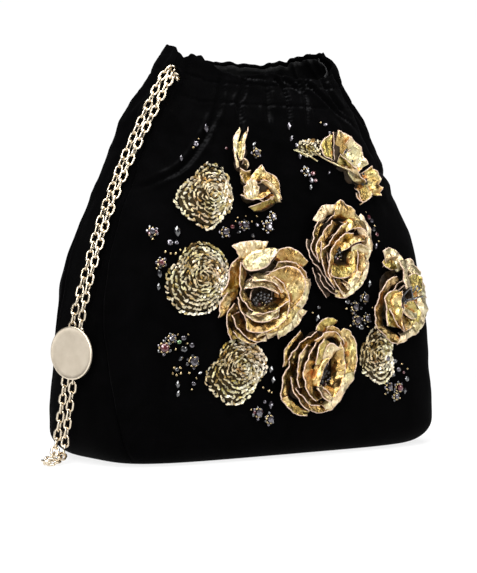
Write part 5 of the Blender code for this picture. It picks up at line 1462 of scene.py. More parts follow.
def shaped_petal(heap, at, tone, h_rim, rim, h_foot, foot, seed, thick=0.00052, pleats=0):
    g = np.random.default_rng(seed)
    length = max(smooth_line(rim, 12)[1], smooth_line(foot, 12)[1])
    cols = int(np.clip(length / 0.95, 9, 46))
    a, _ = smooth_line(np.array(rim), cols)
    b, _ = smooth_line(np.array(foot), cols)
    a, b = a * 0.001, b * 0.001
    hr, hf = h_rim * 0.001, h_foot * 0.001
    w = np.linspace(0, 1, cols)
    wide = np.linalg.norm(a - b, axis=1)
    root = b + (b - a) * np.minimum(0.55, 0.0026 / np.maximum(wide, 0.0008))[:, None]
    t = ROW_T[:, None, None]
    k = 0.36
    upper = np.clip((t - k) / (1 - k), 0, 1)
    lower = np.clip(t / k, 0, 1)
    xy = np.where(t < k, root[None] + (b - root)[None] * lower, b[None] + (a - b)[None] * upper)
    low = max(0.0010, hf * 0.25)
    hh = np.where(t < k, low + (hf - low) * lower ** 1.3, hf + (hr - hf) * upper)[..., 0]
    cup = g.uniform(-0.10, 0.16) * wide[None] * np.sin(math.pi * upper[..., 0])
    hh = hh + np.clip(cup, -0.0008, 0.0010)
    # the free rim waves a little
    wave = 0.00045 * np.sin(w * length * 0.55 + g.uniform(0, 6)) + 0.00022 * np.sin(w * length * 1.3 + g.uniform(0, 6))
    hh = hh + wave[None] * upper[..., 0] ** 2
    if pleats:
        tri = np.abs((w * pleats) % 1.0 - 0.5) * 4 - 1
        hh = hh + 0.0011 * tri[None] * (0.35 + 0.65 * upper[..., 0])
    hh = np.maximum(hh, 0.0006)
    G = on_wall(at[0], at[1], xy[..., 0], xy[..., 1], hh)
    n = unit(np.cross(np.gradient(G, axis=1), np.gradient(G, axis=0)))
    fold = noise3(G, 0.0095, 700 + seed, 1)
    crisp = np.abs(noise3(G, 0.0125, 900 + seed, 1)) - 0.3
    d = 0.00035 * fold + 0.00120 * crisp + 0.00018 * noise3(G, 0.0032, 300 + seed, 1)
    hold = (np.minimum(1, ROW_T * 3) * (1 - 0.35 * ROW_T))[:, None]
    G = G + n * np.clip(d, -0.0008, 0.0011)[..., None] * hold[..., None]
    rows = len(ROW_T)
    du, dv = np.gradient(G, axis=1), np.gradient(G, axis=0)
    nn = unit(np.cross(du, dv))
    up, dn = G + nn * thick / 2, G - nn * thick / 2
    off = rows * cols
    q = quads(rows, cols)
    qb = quads(rows, cols, start=off, flip=True)
    face = np.full((rows - 1, cols - 1), TONE[tone])
    # painted shade: the two lowest rows, the foot among the other petals, take the near-black painted-shade foil; on
    # 'F' and 'G' petals the next rows take random amber patches, a browner tone that also stands in for shade there
    face[:2] = 8
    if tone in "FG":
        face[2:4] = np.where(noise3(G[2:4, :-1], 0.006, 40 + seed, 1) > 0.25, 9, face[2:4])
    face[rows - 2:] = 1
    face = face.reshape(-1)
    e = []
    for c in range(cols - 1):
        r = rows - 1
        e.append((r * cols + c, r * cols + c + 1, off + r * cols + c + 1, off + r * cols + c))
        e.append((c + 1, c, off + c, off + c + 1))
    for r in range(rows - 1):
        e.append((r * cols, (r + 1) * cols, off + (r + 1) * cols, off + r * cols))
        e.append(((r + 1) * cols + cols - 1, r * cols + cols - 1, off + r * cols + cols - 1, off + (r + 1) * cols + cols - 1))
    heap.add(np.concatenate([up.reshape(-1, 3), dn.reshape(-1, 3)]), q.tolist() + qb.tolist() + e,
             face.tolist() + face.tolist() + [1] * len(e))


def backing(heap, at, outline, eye, seed, share=0.72, rise=0.0022):
    """Crumpled leather the petals are sewn to, sunk at the eye, coloured with the near-black painted-shade foil for the
    shade under the petals.
    """
    pts = np.array(outline) * 0.001
    mid = pts.mean(0)
    n = 40
    ang = np.linspace(0, 2 * math.pi, n, endpoint=False)
    dirs = np.stack([np.cos(ang), np.sin(ang)], -1)
    reach = ((pts - mid) @ dirs.T).max(0) * share
    rings = []
    for f_ in (0.04, 0.18, 0.34, 0.50, 0.66, 0.80, 0.91, 0.98, 1.0):
        xy = mid + dirs * (reach * f_)[:, None]
        away = np.linalg.norm(xy - np.array(eye) * 0.001, axis=1)
        hh = 0.0004 + rise * (1 - f_ ** 2) ** 0.7 * (0.45 + 0.55 * ease(away / 0.006))
        if f_ == 1.0:
            hh = np.full(n, 0.0001)
        P = on_wall(at[0], at[1], xy[:, 0], xy[:, 1], hh + (0 if f_ > 0.97 else 1) * 0.0004 * noise3(
            np.concatenate([xy, xy[:, :1]], 1), 0.006, seed, 1))
        rings.append(P)
    f = [tuple(q[::-1]) for q in quads(len(rings), n, closed=True).tolist()]
    f.append(tuple(range(n)))
    heap.add(np.concatenate(rings), f, 8)
    return mid, reach


def rose(name, u, z, eye, heart=(), filler=0, extras=None, seed=0):
    at = spot(u, z)
    heap = Heap()
    petals = TRACED[name]
    mid, reach = backing(heap, at, [p for t in petals for p in t[2]], eye, seed,
                         {"side": 0.56, "shoulder": 0.48, "tall_bud": 0.52, "bud": 0.62}.get(name, 0.72))
    g = np.random.default_rng(seed)
    # short petals underneath, round the eye: every third one in the near-black painted-shade foil, the others in amber
    # foil
    e = np.array(eye) * 0.001
    for i in range(filler):
        a0 = i * 137.5 + g.normal(0, 8)
        rb = 0.0055 + 0.0095 * (i / max(filler - 1, 1)) * g.uniform(0.9, 1.1)
        rb = min(rb, 0.62 * float(reach.min()))
        petal(heap, at, tuple(e * 0.5 + mid * 0.5), a0, a0 + g.uniform(95, 140), rb, rb + 0.0015, 0.0058 * g.uniform(0.8, 1.1),
              18 + 22 * i / max(filler, 1), 34 + 30 * i / max(filler, 1), frill=0.05, waves=2.0, phase=g.uniform(0, 6),
              seed=seed * 31 + i, cols=24, mat=9 if i % 3 else 8)
    for i, (tone, ha, a, hb, b) in enumerate(petals):
        shaped_petal(heap, at, tone, ha, a, hb, b, seed * 40 + i, pleats=PLEATED.get((name, i), 0))
    for kind, x, y, h, size in heart:
        if kind == "seed":
            seed_bead(heap, at, x * 0.001, y * 0.001, h * 0.001, size * 0.001, turn=x * 1.7)
        else:
            gem(heap, at, x * 0.001, y * 0.001, h * 0.001, size * 0.001, g.uniform(1.0, 1.3), g.uniform(0, 90),
                {"jet": 10, "smoke": 5, "garnet": 6}[kind], 8)
    if extras:
        extras(heap, at)
    return heap.done("rose_" + name + "_leather", ROSE_MATS, "rose_" + name)


def stem(heap, at, points, radius=0.00045, mat=2):
    wire(heap, at, [(x * 0.001, y * 0.001, h * 0.001) for x, y, h in points], radius, mat)


def side_extras(heap, at):
    stem(heap, at, [(-6.5, -2.5, 5), (-5.6, 2.6, 9), (-5.0, 4.2, 12), (-4.2, 1.1, 12), (-2.6, -2.5, 11)], 0.0006)
    stem(heap, at, [(-0.6, 0.6, 9), (-0.9, 3.6, 12), (1.0, 5.6, 12), (2.8, 3.6, 12), (0.8, 1.8, 12)], 0.0005)
    stem(heap, at, [(-5.0, -3.0, 8), (-2.4, -3.0, 10.5), (1.4, -1.9, 11.5), (5.5, -1.6, 11.5)], 0.0006)
    for x, y, h, s in ((-5.0, 4.4, 12.3, 1.9), (2.9, 3.4, 12.3, 1.8), (5.8, -1.5, 11.8, 1.9), (-2.4, -2.8, 11.6, 1.7)):
        gem(heap, at, x * 0.001, y * 0.001, h * 0.001, s * 0.001, mat=2, sides=7)


def shoulder_extras(heap, at):
    stem(heap, at, [(-54.8, 8.7, 1.6), (-49.7, 7.0, 2.6), (-43.8, 4.7, 3.0), (-38.7, 1.7, 3.4)], 0.00045, 4)
    stem(heap, at, [(-39.6, 7.3, 2.6), (-31.5, 2.3, 4.4), (-23.1, -1.4, 5.6), (-15.1, -4.0, 6.6), (-10.0, -5.0, 4.0)], 0.00055, 4)
    stem(heap, at, [(-5.8, -24.4, 2.0), (-0.8, -21.9, 3.6), (3.4, -18.9, 4.6), (5.5, -15.0, 3.0)], 0.0005, 4)
    for x, y, h, s in ((-19.6, 6.7, 8.6, 2.3), (-14.5, 1.2, 8.6, 2.0), (-18.4, 8.2, 8.4, 1.5), (-5.1, -6.5, 7.6, 1.8)):
        gem(heap, at, x * 0.001, y * 0.001, h * 0.001, s * 0.001, mat=2, sides=7)


def cluster(x, y, wide, tall, count, seed, h=3.6):
    """Small dark stones and beads packed in a hollow."""
    g = np.random.default_rng(seed)
    out = []
    for i in range(count):
        a, q = i * 2.4, math.sqrt((i + 0.5) / count)
        kind = ("jet", "jet", "seed", "jet", "jet", "smoke", "jet", "garnet")[i % 8]
        size = {"jet": 2.5, "seed": 1.5, "smoke": 2.0, "garnet": 1.9}[kind] * g.uniform(0.8, 1.15)
        out.append((kind, x + wide * q * math.cos(a), y + tall * q * math.sin(a), h + g.uniform(-0.3, 0.6), size))
    return tuple(out)


rose("centre", 0.357, 0.1000, (-3.3, -1.1), cluster(-4.6, -3.4, 7.0, 5.0, 22, 1), 7, None, 11)
rose("upper", 0.656, 0.1262, (-0.8, -1.2), cluster(-4.2, -1.6, 3.6, 5.6, 13, 2), 6, None, 12)
rose("lower", 0.541, 0.0545, (6.5, -4.5), cluster(4.6, -5.6, 3.4, 8.0, 15, 3), 6, None, 13)
rose("side", 0.905, 0.0972, (3.0, -3.1), cluster(-7.6, -3.4, 3.2, 3.0, 8, 4, 7.6), 5, side_extras, 14)
rose("bud", 0.339, 0.1640, (0.6, -1.5), cluster(-0.6, -1.6, 5.4, 3.4, 15, 5, 3.2), 3, None, 15)
rose("tall_bud", 0.233, 0.1885, (0.2, -11.2), cluster(0.6, -10.0, 1.8, 1.8, 4, 6, 2.6), 0, None, 16)
rose("shoulder", 0.855, 0.1790, (-9.5, 3.6), cluster(0.0, -11.0, 2.4, 3.0, 5, 7, 3.4) + cluster(-10.0, -3.0, 2.0, 2.4, 5, 8, 3.8),
     4, shoulder_extras, 17)

# --------------------------------------------------------------------------
# blossoms of folded flakes
# --------------------------------------------------------------------------
def blossom(name, u, z, hx, hy, lobes, eye, seed, rows=10, size=0.0013, dome=0.0030, outline=None):
    """lobes: (angle, centre distance, radius) of the round lobes that make the outline, in half widths;
    outline: its corners in mm instead; eye: the middle of the rings, in half widths."""
    g = np.random.default_rng(seed)
    at = spot(u, z)
    heap = Heap()
    ex, ey = eye

    def inside(px, py):
        if outline:
            x, y, odd = px * hx * 1000, py * hy * 1000, False
            for (x0, y0), (x1, y1) in zip(outline, outline[1:] + outline[:1]):
                if (y0 > y) != (y1 > y) and x < x0 + (x1 - x0) * (y - y0) / (y1 - y0):
                    odd = not odd
            return odd
        return any(math.hypot(px - d * math.cos(math.radians(a)), py - d * math.sin(math.radians(a))) < r for a, d, r in lobes)

    def reach_of(a):
        m = 0.02
        while m < 2.4 and inside(ex + m * math.cos(a), ey + m * math.sin(a)):
            m += 0.02
        return m

    fine = np.linspace(0, 2 * math.pi, 180, endpoint=False)
    reach = np.array([reach_of(a) for a in fine])
    for _ in range(3):
        reach = (np.roll(reach, 1) + 2 * reach + np.roll(reach, -1)) / 4
    round_ = reach.min() * 0.96

    def at_rho(rho, a):
        r = np.interp(a % (2 * math.pi), np.append(fine, 2 * math.pi), np.append(reach, reach[0]))
        w = rho ** 1.5
        m = rho * (r * w + min(round_, 1.0) * (1 - w))
        return (ex + m * np.cos(a)) * hx, (ey + m * np.sin(a)) * hy

    # net the flakes are sewn to, following the dome; its near-black colour is partly painted shade for the gaps between
    # the flakes
    n = 48
    ang = np.linspace(0, 2 * math.pi, n, endpoint=False)
    rings = []
    for f_ in (0.03, 0.25, 0.5, 0.72, 0.88, 0.93):
        px, py = at_rho(f_, ang)
        rings.append(on_wall(at[0], at[1], px, py, np.full(n, 0.0004 + (dome - 0.0010) * (1 - f_ ** 2) ** 0.8)))
    f = [tuple(q[::-1]) for q in quads(len(rings), n, closed=True).tolist()]
    f.append(tuple(range(n)))
    heap.add(np.concatenate(rings), f, 1)
    for k in range(rows):
        rho = (k + 0.50) / rows
        px, py = at_rho(rho, fine)
        seg = np.hypot(np.roll(px, -1) - px, np.roll(py, -1) - py)
        total = seg.sum()
        d = np.concatenate([[0], np.cumsum(seg)])
        count = max(int(total / (0.00155 + 0.0002 * rho)), 4)
        for i in range(count):
            w = (i + g.uniform(-0.38, 0.38) + 0.5 * (k % 2)) / count * total % total
            a_at = np.interp(w, d, np.append(fine, 2 * math.pi))
            rho_i = float(np.clip(rho + g.uniform(-0.22, 0.22) / rows, 0.02, 0.985))
            qx, qy = at_rho(rho_i, a_at)
            qx, qy = float(qx), float(qy)
            w2 = (w + 0.0010) % total
            tx, ty = np.interp(w2, d, np.append(px, px[0])) - qx, np.interp(w2, d, np.append(py, py[0])) - qy
            nn = math.hypot(tx, ty) or 1.0
            tx, ty = tx / nn, ty / nn
            ox, oy = ty, -tx
            yaw = g.normal(0, 0.40)
            tx, ty = tx * math.cos(yaw) + ox * math.sin(yaw), ty * math.cos(yaw) + oy * math.sin(yaw)
            ox, oy = ty, -tx
            r = size * g.uniform(0.80, 1.15) * (0.90 + 0.15 * rho)
            rise = math.radians(72 - 40 * rho ** 1.2 + g.normal(0, 15))
            open_ = math.radians(g.uniform(18, 56))
            tip_ = g.normal(0, 0.26)
            base_h = 0.0003 + (dome - 0.0010) * (1 - rho ** 2) ** 0.8 + g.uniform(0, 0.0006)
            # painted light and shade over a random tone mix: flakes lower down and further out are more often the
            # bright gold, those towards the middle and top more often the dark painted-shade copy
            below = -(qy / hy)
            flake_light_pick = g.uniform() + 0.16 * rho + 0.20 * below
            tone_ = 0 if flake_light_pick > 0.38 else (2 if flake_light_pick > 0.13 else 3)
            V, F = [], []
            for side_ in (0.5, -0.5):
                a_ = rise + open_ * side_
                fo, fu = math.cos(a_), math.sin(a_)
                k0 = len(V)
                V.append((0.0, 0.0))
                arc = [(1.0, 0.05), (0.86, 0.52), (0.50, 0.88), (0.0, 1.0), (-0.50, 0.88), (-0.86, 0.52), (-1.0, 0.05)]
                V[-1] = (qx, qy, base_h)
                for c_, e_ in arc:
                    bulge_ = 0.10 * math.sin(math.pi * min(e_, 1)) * (1 if side_ > 0 else -1)
                    al = r * 1.02 * c_
                    up = r * 1.12 * e_
                    out_ = up * fo - (bulge_ * r) * fu
                    hh = up * fu + (bulge_ * r) * fo + al * tip_
                    V.append((qx + tx * al + ox * out_, qy + ty * al + oy * out_, max(base_h + hh, 0.0004)))
                F += [(k0, k0 + q, k0 + q + 1) for q in range(1, 7)]
            L = np.array(V)
            P = on_wall(at[0], at[1], L[:, 0], L[:, 1], L[:, 2])
            heap.add(P, F, tone_, smooth=False)
    return heap.done(name + "_flakes", [FLAKE, NET, FLAKE_WARM, FLAKE_PAINTED_SHADE], name)


blossom("blossom_upper", 0.108, 0.1596, 0.0208, 0.0208, ((85, 0.34, 0.60), (180, 0.38, 0.60), (300, 0.36, 0.62), (0, 0.25, 0.66)),
        (0.22, -0.02), 21, rows=10,
        outline=((-2.7, 15.2), (3.9, 19.2), (11.0, 17.3), (14.7, 12.0), (16.2, 3.6), (16.8, -2.4), (13.9, -9.6), (6.6, -16.8),
                (-0.4, -21.5), (-6.4, -19.2), (-11.9, -15.2), (-19.2, -8.8), (-19.7, -2.9), (-14.9, 4.3), (-8.4, 9.1), (-4.7, 10.4)))
blossom("blossom_middle", 0.125, 0.1093, 0.0232, 0.0228, ((62, 0.33, 0.66), (190, 0.42, 0.56), (275, 0.34, 0.64)),
        (0.15, 0.07), 22, rows=11,
        outline=((-10.0, 13.4), (-6.5, 18.1), (-0.1, 21.7), (7.4, 21.1), (14.1, 17.6), (18.4, 12.3), (20.0, 6.4), (19.0, 0.5),
                (18.0, -5.3), (18.3, -8.0), (13.7, -13.8), (9.6, -17.6), (1.3, -21.0), (-6.6, -21.3), (-14.1, -18.4), (-17.8, -13.5),
                (-20.4, -7.7), (-20.8, -5.1), (-19.8, 1.8), (-15.8, 7.6), (-11.0, 8.8)))
blossom("blossom_lower", 0.265, 0.0536, 0.0222, 0.0205, ((55, 0.34, 0.64), (195, 0.42, 0.56), (310, 0.36, 0.58)),
        (0.14, 0.19), 23, rows=10,
        outline=((-10.9, 13.8), (-8.4, 17.4), (-0.3, 19.4), (8.5, 18.6), (17.5, 13.6), (21.0, 6.8), (20.9, 0.8), (17.2, -4.3),
                (13.1, -6.4), (11.9, -10.8), (6.1, -17.1), (-1.1, -20.3), (-8.1, -19.3), (-14.9, -14.8), (-18.2, -10.9), (-23.1, -5.6),
                (-23.8, -1.9), (-20.3, 3.1), (-14.4, 6.6), (-12.0, 8.0), (-12.3, 10.9)))
blossom("blossom_side", 0.775, 0.0600, 0.0180, 0.0195, ((80, 0.36, 0.62), (200, 0.30, 0.62), (285, 0.38, 0.60)),
        (0.05, 0.06), 24, rows=9)
blossom("blossom_shoulder", 0.590, 0.1896, 0.0120, 0.0072, ((20, 0.36, 0.64), (200, 0.36, 0.64)), (0.0, 0.0), 25, rows=5,
        size=0.0011, dome=0.0022)

# --------------------------------------------------------------------------
# crystals and seed beads: (group, kind, u, height, size mm, turn)
# --------------------------------------------------------------------------
STONES = (
    ("crease_top", "drop", 0.0684, 0.1992, 2.6, 80),
    ("crease_top", "stone", 0.0359, 0.1896, 2.4, 60),
    ("crease_top", "seed", 0.0284, 0.1874, 1.2, 0),
    ("crease_top", "seed", 0.0438, 0.1928, 1.0, 0),
    ("crease_low", "drop", 3.9842, 0.1810, 2.0, 70),
    ("left_upper", "bicone", 0.0360, 0.1371, 3.4, 85),
    ("left_upper", "stone", 0.0202, 0.1307, 2.6, 0),
    ("left_upper", "stone", 0.0413, 0.1307, 1.8, 0),
    ("left_upper", "seed", 0.0112, 0.1253, 1.5, 0),
    ("left_upper", "seed", 0.0284, 0.1243, 1.4, 0),
    ("left_upper", "seed", 0.0434, 0.1243, 1.6, 0),
    ("left_upper", "seed", 0.0562, 0.1264, 1.2, 0),
    ("left_side", "flower_pink", 3.9307, 0.1371, 2.6, 0),
    ("left_side", "seed", 3.9402, 0.1328, 1.3, 0),
    ("left_side", "seed", 3.9180, 0.1350, 1.0, 0),
    ("left_drop", "flower_red", 0.0054, 0.1189, 2.6, 0),
    ("left_drop", "bicone", 0.0053, 0.1125, 2.6, 85),
    ("left_drop", "bicone", 0.0078, 0.1050, 2.2, 80),
    ("left_drop", "seed", 3.9909, 0.1157, 1.1, 0),
    ("under_bud", "flower_gold", 0.1986, 0.1371, 2.9, 0),
    ("under_bud", "flower_pink", 0.2680, 0.1414, 3.0, 0),
    ("under_bud", "stone_purple", 0.2232, 0.1403, 2.0, 0),
    ("under_bud", "stone", 0.3013, 0.1350, 2.0, 90),
    ("under_bud", "bicone", 0.2500, 0.1371, 1.8, 20),
    ("under_bud", "seed", 0.2409, 0.1457, 1.2, 0),
    ("under_bud", "seed", 0.2716, 0.1467, 1.0, 0),
    ("under_bud", "seed", 0.3152, 0.1467, 1.3, 0),
    ("under_bud", "seed", 0.3367, 0.1435, 1.1, 0),
    ("under_bud", "flower_gold", 0.3782, 0.1467, 2.4, 0),
    ("under_bud", "flower_gold", 0.3602, 0.1403, 3.4, 0),
    ("under_bud", "seed", 0.2347, 0.1435, 1.1, 0),
    ("under_bud", "seed", 0.2961, 0.1435, 1.2, 0),
    ("under_bud", "stone", 0.3173, 0.1414, 1.8, 0),
    ("bud_star", "stone_purple", 0.1683, 0.1874, 1.3, 0),
    ("bud_star", "flower_gold", 0.3060, 0.1850, 2.4, 0),
    ("bud_star", "seed", 0.3036, 0.1874, 1.4, 0),
    ("bud_star", "seed", 0.3246, 0.1864, 1.2, 0),
    ("bud_star", "bicone", 0.2952, 0.1907, 1.8, 60),
    ("neck", "drop", 0.4804, 0.2024, 2.6, 80),
    ("neck", "drop", 0.4879, 0.1949, 2.2, 70),
    ("neck", "stone", 0.5129, 0.1907, 2.0, 30),
    ("neck", "drop", 0.5241, 0.1842, 2.2, 70),
    ("neck", "seed", 0.5485, 0.1874, 1.0, 0),
    ("neck", "drop", 0.7056, 0.2046, 2.2, 10),
    ("neck", "stone", 0.7196, 0.1992, 2.0, 0),
    ("neck", "seed", 0.6784, 0.2057, 1.0, 0),
    ("pink", "flower_dark", 0.5451, 0.1746, 2.3, 0),
    ("pink", "stone_red", 0.5771, 0.1735, 2.4, 20),
    ("pink", "stone_red", 0.5866, 0.1692, 1.8, 0),
    ("pink", "stone", 0.5638, 0.1692, 2.6, 60),
    ("pink", "bicone", 0.5575, 0.1650, 2.0, 80),
    ("pink", "drop", 0.6657, 0.1746, 1.6, 40),
    ("left_lower", "flower_red", 0.0366, 0.0696, 3.8, 0),
    ("left_lower", "flower_gold", 0.0561, 0.0750, 2.6, 0),
    ("left_lower", "stone_green", 0.0788, 0.0728, 1.9, 0),
    ("left_lower", "stone", 0.0914, 0.0750, 2.2, 0),
    ("left_lower", "seed", 0.1047, 0.0771, 1.1, 0),
    ("left_lower", "stone", 0.0930, 0.0686, 2.8, 0),
    ("left_lower", "stone", 0.1161, 0.0707, 2.4, 0),
    ("left_lower", "seed", 0.1033, 0.0718, 1.2, 0),
    ("left_lower", "seed", 0.0737, 0.0771, 1.2, 0),
    ("left_lower", "flower_gold", 0.1233, 0.0611, 3.6, 0),
    ("left_lower", "seed", 0.0692, 0.0686, 1.4, 0),
    ("left_lower", "seed", 0.1116, 0.0546, 1.4, 0),
    ("left_lower", "bicone", 0.0857, 0.0632, 2.0, 20),
    ("left_foot", "seed", 0.0673, 0.0578, 1.6, 0),
    ("left_foot", "seed", 0.0845, 0.0578, 1.6, 0),
    ("left_foot", "seed", 0.0639, 0.0546, 1.5, 0),
    ("left_foot", "seed", 0.0868, 0.0546, 1.5, 0),
    ("left_foot", "seed", 0.0749, 0.0536, 1.4, 0),
    ("left_foot", "stone", 0.0756, 0.0568, 1.8, 0),
    ("left_foot", "bicone", 0.0795, 0.0482, 2.4, 85),
    ("left_foot", "bicone", 0.0812, 0.0428, 2.2, 80),
    ("left_tail", "bicone", 0.1457, 0.0546, 1.8, 30),
    ("left_tail", "seed", 0.1340, 0.0514, 1.2, 0),
    ("left_tail", "stone", 0.1261, 0.0482, 1.9, 0),
    ("left_tail", "seed", 0.1218, 0.0450, 1.1, 0),
    ("foot", "bicone", 0.3766, 0.0546, 2.4, 80),
    ("foot", "bicone", 0.3844, 0.0482, 2.4, 85),
    ("foot", "seed", 0.3700, 0.0418, 1.6, 0),
    ("foot", "seed", 0.3514, 0.0439, 1.2, 0),
    ("foot", "seed", 0.3807, 0.0407, 1.2, 0),
    ("foot", "drop", 0.3772, 0.0332, 2.6, 80),
    ("foot", "flower_pink", 0.3351, 0.0289, 3.2, 0),
    ("foot", "seed", 0.3119, 0.0311, 1.0, 0),
    ("foot", "flower_gold", 0.3739, 0.0246, 3.0, 0),
    ("foot", "stone", 0.3566, 0.0353, 1.6, 0),
    ("centre", "bicone", 0.5450, 0.0846, 2.6, 60),
    ("centre", "stone", 0.5520, 0.0912, 1.6, 0),
    ("centre", "seed", 0.5300, 0.0880, 1.2, 0),
    ("centre", "stone", 0.6619, 0.0943, 2.6, 0),
    ("centre", "flower_gold", 0.6907, 0.0910, 3.2, 0),
    ("centre", "flower_gold", 0.7340, 0.0964, 3.0, 0),
    ("centre", "seed", 0.6571, 0.0900, 1.4, 0),
    ("centre", "stone", 0.7155, 0.0900, 1.8, 0),
    ("centre", "flower_gold", 0.6956, 0.0825, 3.0, 0),
    ("centre", "seed", 0.6704, 0.0793, 1.2, 0),
    ("centre", "flower_gold", 0.7359, 0.0835, 2.8, 0),
    ("centre", "stone", 0.7103, 0.0782, 2.8, 0),
    ("centre", "seed", 0.7387, 0.0782, 1.3, 0),
    ("centre", "seed", 0.6801, 0.0868, 1.3, 0),
    ("centre", "bicone", 0.7549, 0.1050, 2.6, 80),
    ("centre", "seed", 0.7632, 0.0900, 1.1, 0),
    ("right_foot", "flower_gold", 0.8058, 0.0578, 2.6, 0),
    ("right_foot", "stone", 0.8390, 0.0557, 2.2, 0),
    ("right_foot", "seed", 0.8687, 0.0536, 1.3, 0),
    ("right_foot", "stone", 0.8521, 0.0503, 2.4, 0),
    ("right_foot", "stone_red", 0.8739, 0.0482, 1.6, 0),
    ("right_foot", "stone", 0.8851, 0.0439, 2.6, 80),
    ("right_foot", "flower_red", 0.8491, 0.0386, 3.2, 0),
    ("right_foot", "flower_gold", 0.8094, 0.0396, 2.8, 0),
    ("right_foot", "bicone", 0.8742, 0.0364, 2.2, 80),
    ("right_foot", "seed", 0.8512, 0.0321, 1.3, 0),
    ("right_foot", "flower_gold", 0.8360, 0.0332, 2.2, 0),
    ("right_foot", "bicone", 0.8307, 0.0471, 2.0, 50),
    ("right_foot", "seed", 0.7938, 0.0353, 1.2, 0),
    ("right_foot", "seed", 0.8928, 0.0503, 1.2, 0),
    ("right_upper", "stone_purple", 0.8134, 0.1467, 2.2, 60),
    ("right_upper", "stone", 0.8232, 0.1446, 2.0, 60),
    ("right_upper", "seed", 0.8333, 0.1414, 1.2, 0),
    ("right_upper", "stone", 0.8218, 0.1392, 2.0, 70),
    ("right_upper", "stone_purple", 0.8319, 0.1360, 2.0, 70),
    ("right_upper", "seed", 0.8340, 0.1317, 1.2, 0),
    ("right_upper", "drop", 0.8148, 0.1285, 2.2, 80),
    ("right_upper", "seed", 0.8071, 0.1500, 1.1, 0),
)
CRYSTAL_MATS = [JET, SMOKE, GARNET, GREEN, SEED, SMOKE]


def crystals(group):
    heap = Heap()
    g = np.random.default_rng(sum(map(ord, group)))
    for grp, kind, u, z, size, turn_ in STONES:
        if grp != group:
            continue
        at = spot(u, z)
        d = size * 0.001
        turn_ = turn_ + float(g.normal(0, 9))
        if kind == "seed":
            seed_bead(heap, at, 0, 0, d * 0.75 + 0.0002, d * 1.45, mat=4, turn=g.uniform(0, 3.1))
        elif kind == "bicone":
            bicone(heap, at, 0, 0, d * 0.6 + 0.0002, d * 1.2, 1.45, turn_, 0)
        elif kind == "drop":
            bicone(heap, at, 0, 0, d * 0.5 + 0.0002, d * 1.05, 1.7, turn_, 1)
        elif kind.startswith("flower"):
            tone = {"flower_gold": 1, "flower_red": 2, "flower_pink": 1, "flower_dark": 0}[kind]
            gem(heap, at, 0, 0, 0.0020 + d * 0.25, d * 1.40, 1.0, turn_, tone, 8)
            n = 5 if d < 0.003 else 6
            for i in range(n):
                b = 2 * math.pi * i / n + g.uniform(-0.2, 0.2)
                rr = d * 0.56 + 0.0007
                if kind == "flower_pink" and i % 3 == 0:
                    gem(heap, at, rr * math.cos(b), rr * math.sin(b), 0.0013, 0.0022, 1.0, 0, 2, 6)
                else:
                    seed_bead(heap, at, rr * math.cos(b), rr * math.sin(b), 0.0012, g.uniform(0.0017, 0.0022), 4, b)
                c, out = b + math.pi / n, rr + g.uniform(0.0003, 0.0012)
                gem(heap, at, out * math.cos(c), out * math.sin(c), 0.0011, g.uniform(0.0016, 0.0022), 1.0, c, 0 if i % 2 else 1, 6)
        else:
            tone = {"stone": 1 if g.uniform() < 0.6 else 0, "stone_red": 2, "stone_purple": 2, "stone_green": 3}[kind]
            gem(heap, at, 0, 0, 0.0009 + d * 0.36, d * 1.3, g.uniform(1.0, 1.25), turn_, tone, 8)
    node_name = "crystals_" + group
    known = group != "bud_star"
    return heap.done(node_name + "_sewn", CRYSTAL_MATS, node_name if known else None)


for group in ("crease_top", "crease_low", "left_upper", "left_side", "left_drop", "under_bud", "bud_star", "pink", "left_lower",
              "left_foot", "left_tail", "foot", "centre", "right_foot", "right_upper", "neck"):
    crystals(group)

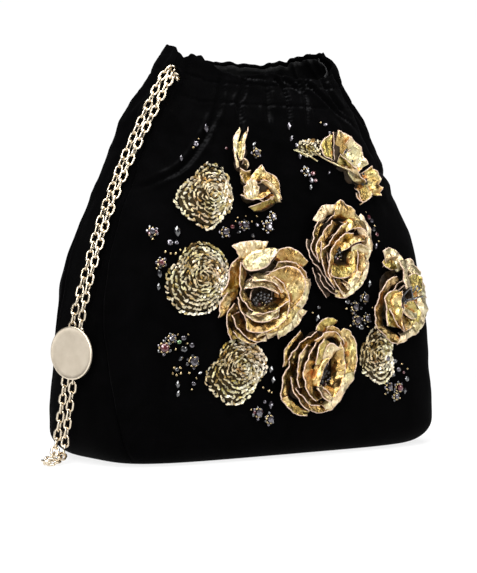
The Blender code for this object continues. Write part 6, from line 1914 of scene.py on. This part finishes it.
# --------------------------------------------------------------------------
# floor, light
# --------------------------------------------------------------------------
bpy.context.scene.view_settings.view_transform = "Standard"
bpy.ops.mesh.primitive_plane_add(size=8.0, location=(0, 0, -0.0004))
floor = bpy.context.object
floor.name = "studio_floor"
fm, nt, p = new_mat("studio_floor")
L = nt.links.new
p.inputs["Base Color"].default_value = (0.93, 0.93, 0.93, 1)
p.inputs["Roughness"].default_value = 0.9
p.inputs["Specular IOR Level"].default_value = 0.0
em = node(nt, "ShaderNodeEmission", Strength=1.02)
tc = coords(nt)
ln = node(nt, "ShaderNodeVectorMath", operation="LENGTH")
L(tc, ln.inputs[0])
mr = node(nt, "ShaderNodeMapRange", **{"From Min": 0.22, "From Max": 0.55, "To Min": 0.0, "To Max": 1.0})
L(ln.outputs["Value"], mr.inputs["Value"])
mx = nt.nodes.new("ShaderNodeMixShader")
mr.inputs["To Min"].default_value = 0.80
L(mr.outputs["Result"], mx.inputs["Fac"])
L(p.outputs["BSDF"], mx.inputs[1])
L(em.outputs["Emission"], mx.inputs[2])
L(mx.outputs["Shader"], nt.nodes["Material Output"].inputs["Surface"])
floor.data.materials.append(fm)

world = bpy.data.worlds.new("studio")
bpy.context.scene.world = world
world.use_nodes = True
wn = world.node_tree
bg = wn.nodes["Background"]
bg.inputs["Color"].default_value = (1, 1, 1, 1)
bg.inputs["Strength"].default_value = 0.10
bg2 = wn.nodes.new("ShaderNodeBackground")
bg2.inputs["Color"].default_value = (1, 1, 1, 1)
bg2.inputs["Strength"].default_value = 1.02
lp = wn.nodes.new("ShaderNodeLightPath")
mixw = wn.nodes.new("ShaderNodeMixShader")
wn.links.new(lp.outputs["Is Camera Ray"], mixw.inputs["Fac"])
wn.links.new(bg.outputs["Background"], mixw.inputs[1])
wn.links.new(bg2.outputs["Background"], mixw.inputs[2])
wn.links.new(mixw.outputs["Shader"], wn.nodes["World Output"].inputs["Surface"])


def area(name, loc, look, size, power):
    ld = bpy.data.lights.new(name, "AREA")
    ld.shape = "RECTANGLE"
    ld.size, ld.size_y = size
    ld.energy = power
    lo = bpy.data.objects.new(name, ld)
    bpy.context.scene.collection.objects.link(lo)
    lo.location = loc
    lo.rotation_mode = "QUATERNION"
    lo.rotation_quaternion = (Vector(look) - Vector(loc)).to_track_quat("-Z", "Y")
    return lo


area("overhead", (-0.1, -0.2, 1.5), (0, 0, 0.1), (1.5, 1.2), 40.0)
area("key_left", (-1.35, -1.0, 0.75), (0, 0, 0.12), (0.6, 1.2), 26.0)
area("key_right", (1.1, -1.5, 0.7), (0, 0, 0.12), (0.5, 1.2), 16.0)

print("chain", drop_links, held_links, free_length, held_length)
